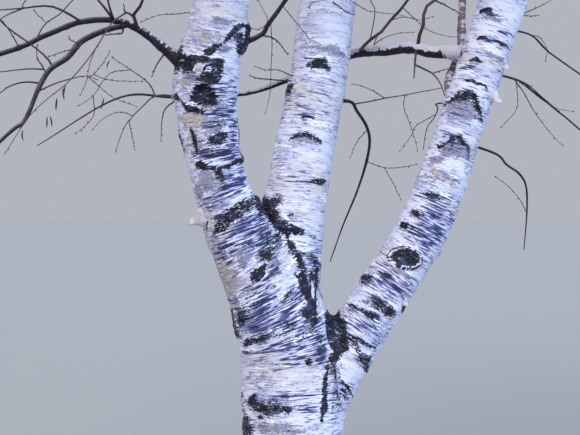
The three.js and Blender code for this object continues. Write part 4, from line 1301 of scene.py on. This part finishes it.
# Shoots that the photograph shows: how far away each starts and ends in metres, the thickness of its foot and
# tip in millimetres, how many metres it grows on outside the picture, and the pixels that it runs through.
seenShoots = [
    # from the bough at the left
    (-0.28, -0.28, 4, 3, 0.2, [(25, 9), (22, 6), (26, 0)]),
    (-0.28, -0.3, 5, 3, 0.2, [(24, 9), (14, 12), (5, 16), (0, 20)]),
    (-0.24, -0.3, 4, 3, 0.4, [(36, 40), (40, 32), (46, 23), (60, 14), (68, 5), (73, 0)]),
    (-0.26, -0.26, 2, 1.4, 0, [(47, 23), (40, 17), (33, 10)]),
    (-0.18, -0.2, 8, 6, 0.6, [(114, 18), (110, 9), (108, 0)]),
    (-0.16, -0.19, 9, 5, 0, [(138, 27), (134, 18), (128, 13), (124, 14)]),
    (-0.19, -0.19, 5, 2, 0, [(125, 14), (124, 5)]),
    (-0.17, -0.2, 7, 3, 0, [(125, 29), (122, 33), (115, 34), (105, 35)]),
    (-0.3, -0.34, 4, 2, 0.3, [(17, 44), (11, 33), (4, 23), (0, 19)]),
    (-0.26, -0.27, 5, 2, 0, [(43, 72), (41, 64), (37, 58), (37, 45)]),
    (-0.22, -0.26, 5, 2, 0, [(85, 41), (76, 48), (62, 52), (48, 57)]),
    (-0.22, -0.23, 3, 2, 0, [(78, 41), (72, 41), (69, 37)]),
    (-0.24, -0.2, 3, 1.5, 0, [(88, 76), (94, 74), (105, 60), (110, 51)]),
    (-0.24, -0.2, 3, 1.5, 0, [(88, 77), (101, 88), (114, 98), (138, 107)]),
    (-0.24, -0.2, 3, 1.5, 0, [(94, 75), (105, 79), (120, 81), (143, 81)]),
    (-0.08, -0.16, 3, 1.5, 0, [(130, 71), (113, 72), (103, 81), (93, 96), (77, 107)]),
    (-0.1, -0.06, 6, 2, 0, [(163, 55), (156, 66), (152, 77)]),
    (-0.12, -0.16, 3, 1.5, 0, [(104, 104), (94, 114), (85, 126), (75, 134)]),
    (-0.1, -0.1, 3, 1.5, 0, [(129, 122), (132, 135), (135, 150)]),
    (-0.04, -0.08, 6, 2, 0, [(176, 100), (166, 108), (162, 120), (161, 142)]),
    (-0.04, -0.1, 3, 1.5, 0, [(193, 12), (176, 14), (160, 15), (148, 19), (140, 23)]),
    (-0.16, -0.2, 12, 8, 0.8, [(137, 24), (133, 16), (141, 5), (143, 0)]),
    (-0.18, -0.22, 9, 6, 0.6, [(113, 18), (104, 7), (98, 0)]),
    (-0.22, -0.3, 8, 4, 0.4, [(80, 20), (67, 13), (54, 7), (41, 6), (25, 8), (0, 10)]),
    (-0.25, -0.33, 7, 4, 0.4, [(52, 66), (47, 58), (33, 46), (8, 28), (0, 20)]),
    (-0.26, -0.3, 5, 3, 0.3, [(44, 71), (27, 69), (0, 72)]),
    (-0.28, -0.3, 6, 3, 0.3, [(37, 82), (25, 82), (10, 86), (0, 93)]),
    (-0.3, -0.22, 5, 2, 0, [(39, 92), (54, 84), (70, 79), (86, 76), (98, 80)]),
    (-0.19, -0.4, 5, 2, 0,
        [(124, 15), (111, 24), (96, 48), (81, 68), (65, 85), (46, 100), (28, 118), (4, 155)]
    ),
    (-0.26, -0.28, 3, 1.5, 0, [(96, 48), (90, 63), (86, 82), (80, 96)]),
    (-0.02, -0.1, 5, 2, 0, [(155, 95), (150, 85), (137, 74), (111, 57)]),
    (-0.05, -0.12, 6, 2, 0,
        [(174, 97), (164, 95), (153, 97), (144, 105), (133, 116), (124, 128), (115, 153)]
    ),
    (-0.08, -0.14, 3, 1.4, 0, [(133, 116), (120, 112), (104, 118), (92, 130)]),
    # from the bough behind the stems
    (0.2, 0.16, 12, 9, 0.9, [(357, 47), (368, 41), (377, 37), (389, 22), (403, 7), (408, 0)]),
    (0.12, 0.1, 13, 10, 0.7, [(418, 45), (420, 33), (425, 20), (423, 10), (435, 0)]),
    (0.1, 0.1, 6, 3, 0, [(435, 1), (443, 4), (450, 8), (458, 12)]),
    (0.12, 0.1, 9, 4, 0, [(416, 50), (415, 62), (414, 78)]),
    (0.11, 0.05, 7, 4, 0, [(417, 65), (426, 70), (433, 74), (440, 83), (445, 96)]),
    (0.09, 0.06, 4, 2, 0, [(433, 73), (443, 70), (453, 68)]),
    (0.19, 0.17, 4, 3, 0.4, [(370, 40), (373, 26), (375, 10), (370, 0)]),
    (0.19, 0.14, 4, 1.8, 0, [(378, 40), (374, 45), (380, 40), (395, 34), (415, 32)]),
    (0.1, 0.14, 3, 1.5, 0, [(355, 1), (366, 10), (376, 12), (392, 14), (405, 16)]),
    (0.16, 0.08, 3, 1.5, 0, [(406, 10), (416, 20), (428, 30), (446, 36), (460, 37)]),
    (0.17, 0.12, 3, 1.5, 0, [(390, 20), (404, 17), (420, 20), (434, 16)]),
    # from the bough that hangs from the middle stem
    (0.16, 0.02, 5, 2.5, 0, [(354, 104), (372, 101), (386, 98), (405, 95), (420, 92), (442, 88)]),
    (0.12, 0.14, 3.5, 1.6, 0, [(385, 98), (375, 92), (362, 86), (352, 84)]),
    (0.1, 0.16, 6, 2, 0, [(441, 100), (436, 104), (438, 108), (434, 118), (427, 128), (423, 150)]),
    (0.14, 0.2, 3, 1.5, 0, [(428, 112), (416, 126), (411, 136), (399, 152)]),
    (0.08, 0.2, 3, 1.5, 0, [(405, 96), (404, 108), (410, 124), (414, 136), (418, 152)]),
    (0.22, 0.2, 3, 1.5, 0, [(368, 162), (386, 168), (409, 166), (418, 164)]),
    (0.21, 0.22, 2.5, 1.4, 0, [(384, 168), (394, 185), (401, 200)]),
    (0.2, 0.22, 3, 1.4, 0, [(366, 130), (357, 142), (350, 158)]),
    # between the left and the middle stem
    (0.06, 0.03, 5, 3, 0, [(286, 79), (276, 80), (266, 79), (256, 78), (249, 75)]),
    (0.07, 0.05, 3.5, 1.8, 0, [(288, 75), (278, 70), (266, 70), (254, 66)]),
    (-0.04, 0.04, 6, 2.5, 0, [(262, 36), (273, 38), (280, 44), (288, 55)]),
    (-0.08, -0.1, 3, 1.5, 0, [(290, 10), (304, 32), (310, 39), (322, 45)]),
    (-0.05, 0, 3, 1.4, 0, [(275, 24), (272, 45), (271, 68), (270, 92), (265, 115)]),
    (-0.04, -0.06, 3, 1.5, 0.3, [(244, 20), (255, 30), (268, 22), (262, 8), (258, 0)]),
    # across the middle stem's top and at the right
    (0.04, 0.02, 5, 3, 0, [(333, 0), (340, 7), (346, 12), (354, 15)]),
    (0.04, 0.02, 3, 2, 0.2, [(298, 6), (312, 3), (326, 0)]),
    (0.08, 0.1, 4, 1.5, 0, [(513, 80), (524, 93), (532, 108), (541, 121), (553, 136), (564, 147)]),
    (0.08, 0.16, 3, 1.5, 0, [(516, 80), (530, 90), (541, 99), (556, 108), (575, 112)]),
    (0.08, 0.1, 3, 1.5, 0, [(530, 30), (540, 38), (547, 50), (545, 62)]),
    (0.08, 0.06, 3, 1.5, 0, [(515, 79), (517, 90), (517, 108), (508, 120), (500, 128)]),
    (0.08, 0.14, 5, 2, 0, [(513, 76), (527, 84), (541, 96), (560, 112)]),
    (0, 0.1, 4, 2, 0.2, [(524, 15), (534, 9), (548, 2)]),
    (0.1, 0.08, 3, 1.5, 0, [(528, 214), (520, 200), (508, 186), (494, 176)]),
    (0, 0.06, 3, 2, 0, [(524, 16), (530, 16), (538, 15)]),
]
shootRule = {
    "points": 26,
    "carriers": {"bough": 400, "stem": 1500, "shoot": 200},  # how many points of each a foot may sit on
    "notOnFoot": 30,  # how many of a shoot's own first points carry nothing
    "carrierRadius": 0.001,
    "depthShare": 0.5,
    "sunk": 0.006,  # a foot lies this far inside a limb
    "smoothing": 6,
    "onSteps": 10, "onAside": (0.5, -0.25), "onTurn": 0.12, "onRise": 0.1, "onDroop": -0.2, "onTip": 0.0012,
}


def seatedOn(foot, carriers):
    # A shoot's foot, moved on to the nearest of the limbs and shoots, where depth counts for half.
    points, radius = carriers
    away = np.linalg.norm((points - foot) * (1, shootRule["depthShare"], 1), axis=1)
    nearest = np.argmin(away - radius)
    out = foot - points[nearest]
    inside = max(radius[nearest] - shootRule["sunk"], 0)
    return points[nearest] + out * min(1, inside / np.linalg.norm(out))


def growOn(at, way, onward):
    # How a shoot goes on outside the picture: aside and forward, first up and then down.
    rule, path = shootRule, []
    sideways = np.array([np.sign(way[0]) * rule["onAside"][0], rule["onAside"][1], 0])
    for i in range(rule["onSteps"]):
        upward = rule["onRise"] if i < rule["onSteps"] / 2 else rule["onDroop"]
        way = unit(way + rule["onTurn"] * sideways + np.array([0, 0, upward]))
        at = at + way * onward / rule["onSteps"]
        path.append(at)
    return np.array(path)


def shootLines():
    # The shoots that show, and the lines that they run on along once outside the picture.
    rule, count = shootRule, shootRule["carriers"]
    limbs = [(boughs[name], count["bough"]) for name in lowBoughs]
    limbs += [(line, count["stem"]) for line in stems.values()]
    limbs = [evenly(line["centre"], line["radius"], points)[:2] for line, points in limbs]
    lines, further, paths = [], [], []
    for start, end, _, _, _, pixels in seenShoots:
        aways = np.linspace(start, end, len(pixels))
        paths.append(np.array([fromPhoto(*pixel, away) for pixel, away in zip(pixels, aways)]))
    for number, knots in enumerate(paths):
        footInMm, tipInMm, onward = seenShoots[number][2:5]
        carriers = list(limbs)
        for path in paths[:number] + paths[number + 1:]:
            other = evenly(path, np.full(len(path), rule["carrierRadius"]), count["shoot"])
            carriers.append([values[rule["notOnFoot"]:] for values in other[:2]])
        knots[0] = seatedOn(knots[0], [np.concatenate(parts) for parts in zip(*carriers)])
        fine = np.linspace(0, len(knots) - 1, rule["smoothing"] * len(knots))
        fine = smoothAt(np.arange(len(knots)), knots, fine)
        radius = np.linspace(footInMm / 1000, tipInMm / 1000, len(fine)) / 2
        if onward:
            more, steps = growOn(fine[-1], unit(fine[-1] - fine[-4]), onward), rule["onSteps"]
            thin = np.linspace(radius[-1], rule["onTip"], steps + 1)
            further.append(evenly(np.vstack([fine[-1:], more]), thin, growth["points"]))
            fine = np.vstack([fine, more])
            radius = np.concatenate([radius, np.linspace(radius[-1], rule["onTip"], steps)])
        lines.append(evenly(fine, radius, rule["points"]))
    return lines, further


def stack(lines):
    return tuple(np.array([line[i] for line in lines]) for i in range(3))


def growTwigs():
    dice, count = np.random.default_rng(growth["seed"]), growth["points"]
    parents = [evenly(bough["centre"], bough["radius"], count) for bough in boughs.values()]
    for side, line in stems.items():
        top, part = courses[side][-1][0], growth["stemPart"]
        for low in np.arange(growth["stemsFrom"], top - growth["stemBare"], part):
            heights = np.linspace(low, min(low + part, top), count)
            parents.append(evenly(pick(line, "centre", heights), pick(line, "radius", heights), count))
    seen, further = shootLines()
    shoots = grow(stack(parents + further), twigRules["shoot"], dice)
    twigs = grow(shoots, twigRules["twig"], dice)
    fineTwigs = grow(twigs, twigRules["fine twig"], dice)
    print("grown:", len(shoots[0]), "shoots,", len(twigs[0]), "twigs,", len(fineTwigs[0]), "fine twigs")
    return stack(seen), shoots, twigs, fineTwigs


# How many sides a tube has, and how many tubes a piece holds to stay under the triangle limit.
twigPieces = {"seen_shoots": (8, 1000), "shoots": (4, 3000), "twigs": (3, 5500), "fine_twigs": (3, 14000)}


def inPieces(name, lines):
    sides, each = twigPieces[name]
    for number, start in enumerate(range(0, len(lines[0]), each)):
        points, radius = (values[start:start + each] for values in lines[:2])
        piece = tubes(f"{name}_{number + 1}", points, radius, sides)
        hold(piece, "dark_bark", [small["birch twig bark"]])


hangers = {
    "catkins": {
        "length": 0.034, "radius": 0.0026, "profile": (0.3, 0.9, 1, 0.8, 0.2), "finish": "birch catkin",
    },
    "buds": {"length": 0.007, "radius": 0.0017, "profile": (0.5, 1, 0.9, 0.15), "finish": "birch bud scale"},
    "sides": 5, "sizes": (0.8, 1.15), "bend": 0.1,
    "seed": 5,
    "catkinCount": 1500, "catkinSway": 0.18,
    "seenCatkins": [(66, 85), (47, 117), (57, 98), (63, 88), (50, 116), (23, 130), (110, 60), (104, 98)],
    "seenAway": -0.3,
    "budPoints": (3, 25, 3),  # which of a seen shoot's points have a bud: the first, the end and the step
    "budStray": 0.0004, "budLean": 0.7,
}


def hang(name, tips, ways, dice):
    # Small spindles, each from a tip and along its own way.
    look, profile = hangers[name], np.array(hangers[name]["profile"])
    share = np.linspace(0, 1, len(profile))
    size = dice.uniform(*hangers["sizes"], (len(tips), 1))
    points = tips[:, None] + ways[:, None] * (share[None] * look["length"] * size)[..., None]
    bent = hangers["bend"] * look["length"] * np.sin(share * math.pi)[None]
    points[..., 0] += bent * dice.normal(0, 1, (len(tips), 1))
    piece = tubes(name, points, profile[None] * look["radius"] * size, hangers["sides"])
    hold(piece, "dark_bark", [small[look["finish"]]])


def makeHangers(seen, fineTwigs):
    # Catkins hang at fine twigs' tips and where the photograph shows them, and buds stand on seen shoots.
    dice = np.random.default_rng(hangers["seed"])
    picked = dice.choice(len(fineTwigs[0]), hangers["catkinCount"], replace=False)
    spots = [fromPhoto(*pixel, hangers["seenAway"]) for pixel in hangers["seenCatkins"]]
    tips = np.vstack([fineTwigs[0][picked, -1], spots])
    downward = unit(np.array([0, 0, -1.0]) + dice.normal(0, hangers["catkinSway"], tips.shape))
    hang("catkins", tips, downward, dice)
    every = slice(*hangers["budPoints"])
    budAt = seen[0][:, every]
    budAt = budAt + dice.normal(0, hangers["budStray"], budAt.shape)
    way = unit(np.gradient(seen[0], axis=1))[:, every]
    way = unit(way + dice.normal(0, hangers["budLean"], budAt.shape))
    hang("buds", budAt.reshape(-1, 3), way.reshape(-1, 3), dice)


# Curls of loose bark that show: the pixel, the side each stands off to, and its size round and along.
seenCurls = [
    {"on": "left", "at": (200, 18), "to": -1, "size": (0.040, 0.010), "turn": 0.9, "droop": 0.5},
    {"on": "left", "at": (205, 216), "to": -1, "size": (0.076, 0.066), "turn": 0.7, "droop": 0.1},
    {"on": "right", "at": (492, 93), "to": 1, "size": (0.048, 0.044), "turn": 0.7, "droop": 0.35},
    {"on": "right", "at": (503, 64), "to": 1, "size": (0.026, 0.030), "turn": 0.9, "droop": 0.2},
    {"on": "left", "at": (222, 106), "to": 1, "size": (0.016, 0.010), "turn": 2.6, "droop": 0.1},
    {"on": "right", "at": (404, 300), "to": 1, "size": (0.022, 0.030), "turn": 1.4, "droop": 0.3},
]
curlRule = {
    "seed": 77,
    "count": 70,
    "lowest": {"left": 0.5, "middle": 2.0, "right": 2.0}, "highest": 7.5,
    "seen": {"height": 2.45, "angle": 1.9},
    "round": (0.015, 0.05), "tall": (0.012, 0.05), "turn": (0.8, 3.4), "droop": (0, 0.4),
    "standOff": 0.001,
    "thickness": 0.0005,
    "across": 9, "up": 4,
    "narrowing": 0.85, "narrowingCurve": 1.4, "turnCurve": 1.3,
    "ripple": 0.12, "ripples": 9,
}


def placeCurls():
    # The curls that show, and more on the sides and the back.
    rule, dice, curls = curlRule, np.random.default_rng(curlRule["seed"]), []
    for curl in seenCurls:
        along, angle = seenOn(curl["on"], *curl["at"])
        curls.append({**curl, "along": along, "angle": angle})
    while len(curls) < rule["count"] + len(seenCurls):
        side = dice.choice(list(stems))
        along = dice.uniform(rule["lowest"][side], rule["highest"])
        angle = dice.uniform(-math.pi, math.pi)
        height = np.interp(along, stems[side]["along"], stems[side]["heights"])
        size = (dice.uniform(*rule["round"]), dice.uniform(*rule["tall"]))
        if height > rule["seen"]["height"] or abs(angle) > rule["seen"]["angle"]:
            curl = {"on": side, "along": along, "angle": angle, "size": size}
            curl["turn"] = dice.uniform(*rule["turn"])
            curl["to"] = dice.choice([-1, 1])
            curl["droop"] = dice.uniform(*rule["droop"])
            curls.append(curl)
    return curls


def makeCurls():
    # Each curl is a strip that leaves the bark and rolls back, with its points in rows across and up.
    rule, across, up = curlRule, curlRule["across"], curlRule["up"]
    points, faces = [], []
    for curl in placeCurls():
        line, (wide, tall) = stems[curl["on"]], curl["size"]
        height = np.array([np.interp(curl["along"], line["along"], line["heights"])])
        centre, front, right = (pick(line, what, height)[0] for what in ("centre", "front", "right"))
        axis, radius = np.cross(front, right), pick(line, "radius", height)[0] + rule["standOff"]
        out = math.cos(curl["angle"]) * front + math.sin(curl["angle"]) * right
        way = np.cross(axis, out) * curl["to"]
        at, base = centre + out * radius, len(points)
        for i in range(across):
            share = i / (across - 1)
            left = tall * (1 - rule["narrowing"] * share ** rule["narrowingCurve"])
            left *= 1 + rule["ripple"] * math.sin(rule["ripples"] * share + base)
            for j in range(up):
                points.append(at + axis * ((j / (up - 1) - 0.5) * left - curl["droop"] * tall * share))
            turned = curl["turn"] * share ** rule["turnCurve"]
            at = at + (way * math.cos(turned) + out * math.sin(turned)) * wide / (across - 1)
        for i in range(across - 1):
            for j in range(up - 1):
                corner = base + i * up + j
                quad = [corner, corner + up, corner + up + 1, corner + 1]
                faces.append(quad if curl["to"] > 0 else quad[::-1])
    piece = meshFrom("bark_curls", np.array(points), [np.array(faces)])
    only(piece)
    thick = piece.modifiers.new("thickness", "SOLIDIFY")
    thick.thickness, thick.offset, thick.material_offset = rule["thickness"], 1, 1
    bpy.ops.object.modifier_apply(modifier="thickness")
    return piece


# The whole tree

trunk = makeTrunk()
dress(trunk, list(stems))
hold(trunk, "white_bark", [whiteFinish], "trunk")
print("trunk made:", len(trunk.data.polygons), "faces")
for side in stems:
    stem = makeStem(side)
    dress(stem, [side])
    hold(stem, "white_bark", [whiteFinish], f"stem_{side}")
    print(f"stem_{side} made:", len(stem.data.polygons), "faces")
for number, (name, bough) in enumerate(boughs.items()):
    hold(makeBough(bough, number), "dark_bark", [darkFinish], name)
print("boughs made:", len(boughs))
seen, shoots, twigs, fineTwigs = growTwigs()
for name, lines in zip(twigPieces, (seen, shoots, twigs, fineTwigs)):
    inPieces(name, lines)
makeHangers(seen, fineTwigs)
hold(makeCurls(), "white_bark", [small["loose birch paper"], small["inner birch paper"]])
print("catkins, buds and curls made")


# Floor, light and camera

bpy.ops.object.select_all(action="DESELECT")
bpy.ops.mesh.primitive_circle_add(vertices=96, radius=700, fill_type="NGON", location=(0, 0, 0))
floor = bpy.context.object
floor.name = "studio_floor"
floor.data.materials.append(small["pale studio floor"])

sky = {"colour": (0.86, 0.89, 1.0, 1), "strength": 0.52}
lamps = {
    "key": {"turn": (50, 0, -16), "strength": 2.0, "softness": 30, "colour": (1.0, 0.935, 0.85)},
    "fill": {"turn": (60, 0, 58), "strength": 1.84, "softness": 60, "colour": (0.46, 0.72, 1.0)},
}
world = bpy.data.worlds.new("soft studio")
bpy.context.scene.world = world
world.use_nodes = True
background = world.node_tree.nodes["Background"]
background.inputs["Color"].default_value = sky["colour"]
background.inputs["Strength"].default_value = sky["strength"]
for name, look in lamps.items():
    bpy.ops.object.light_add(type="SUN", location=(0, 0, 14), rotation=np.radians(look["turn"]))
    lamp = bpy.context.object
    lamp.name = lamp.data.name = name
    lamp.data.energy, lamp.data.color = look["strength"], look["colour"]
    lamp.data.angle = math.radians(look["softness"])

bpy.ops.object.camera_add(location=photo["eye"], rotation=(math.pi / 2, 0, 0))
camera = bpy.context.object
camera.data.sensor_width = photo["sensor"]
seenWidth = photo["width"] * photo["metresPerPixel"]
camera.data.lens = photo["sensor"] * -photo["eye"][1] / seenWidth
camera.data.clip_start, camera.data.clip_end = 0.05, 2000
bpy.context.scene.camera = camera
bpy.context.scene.view_settings.view_transform = "Standard"
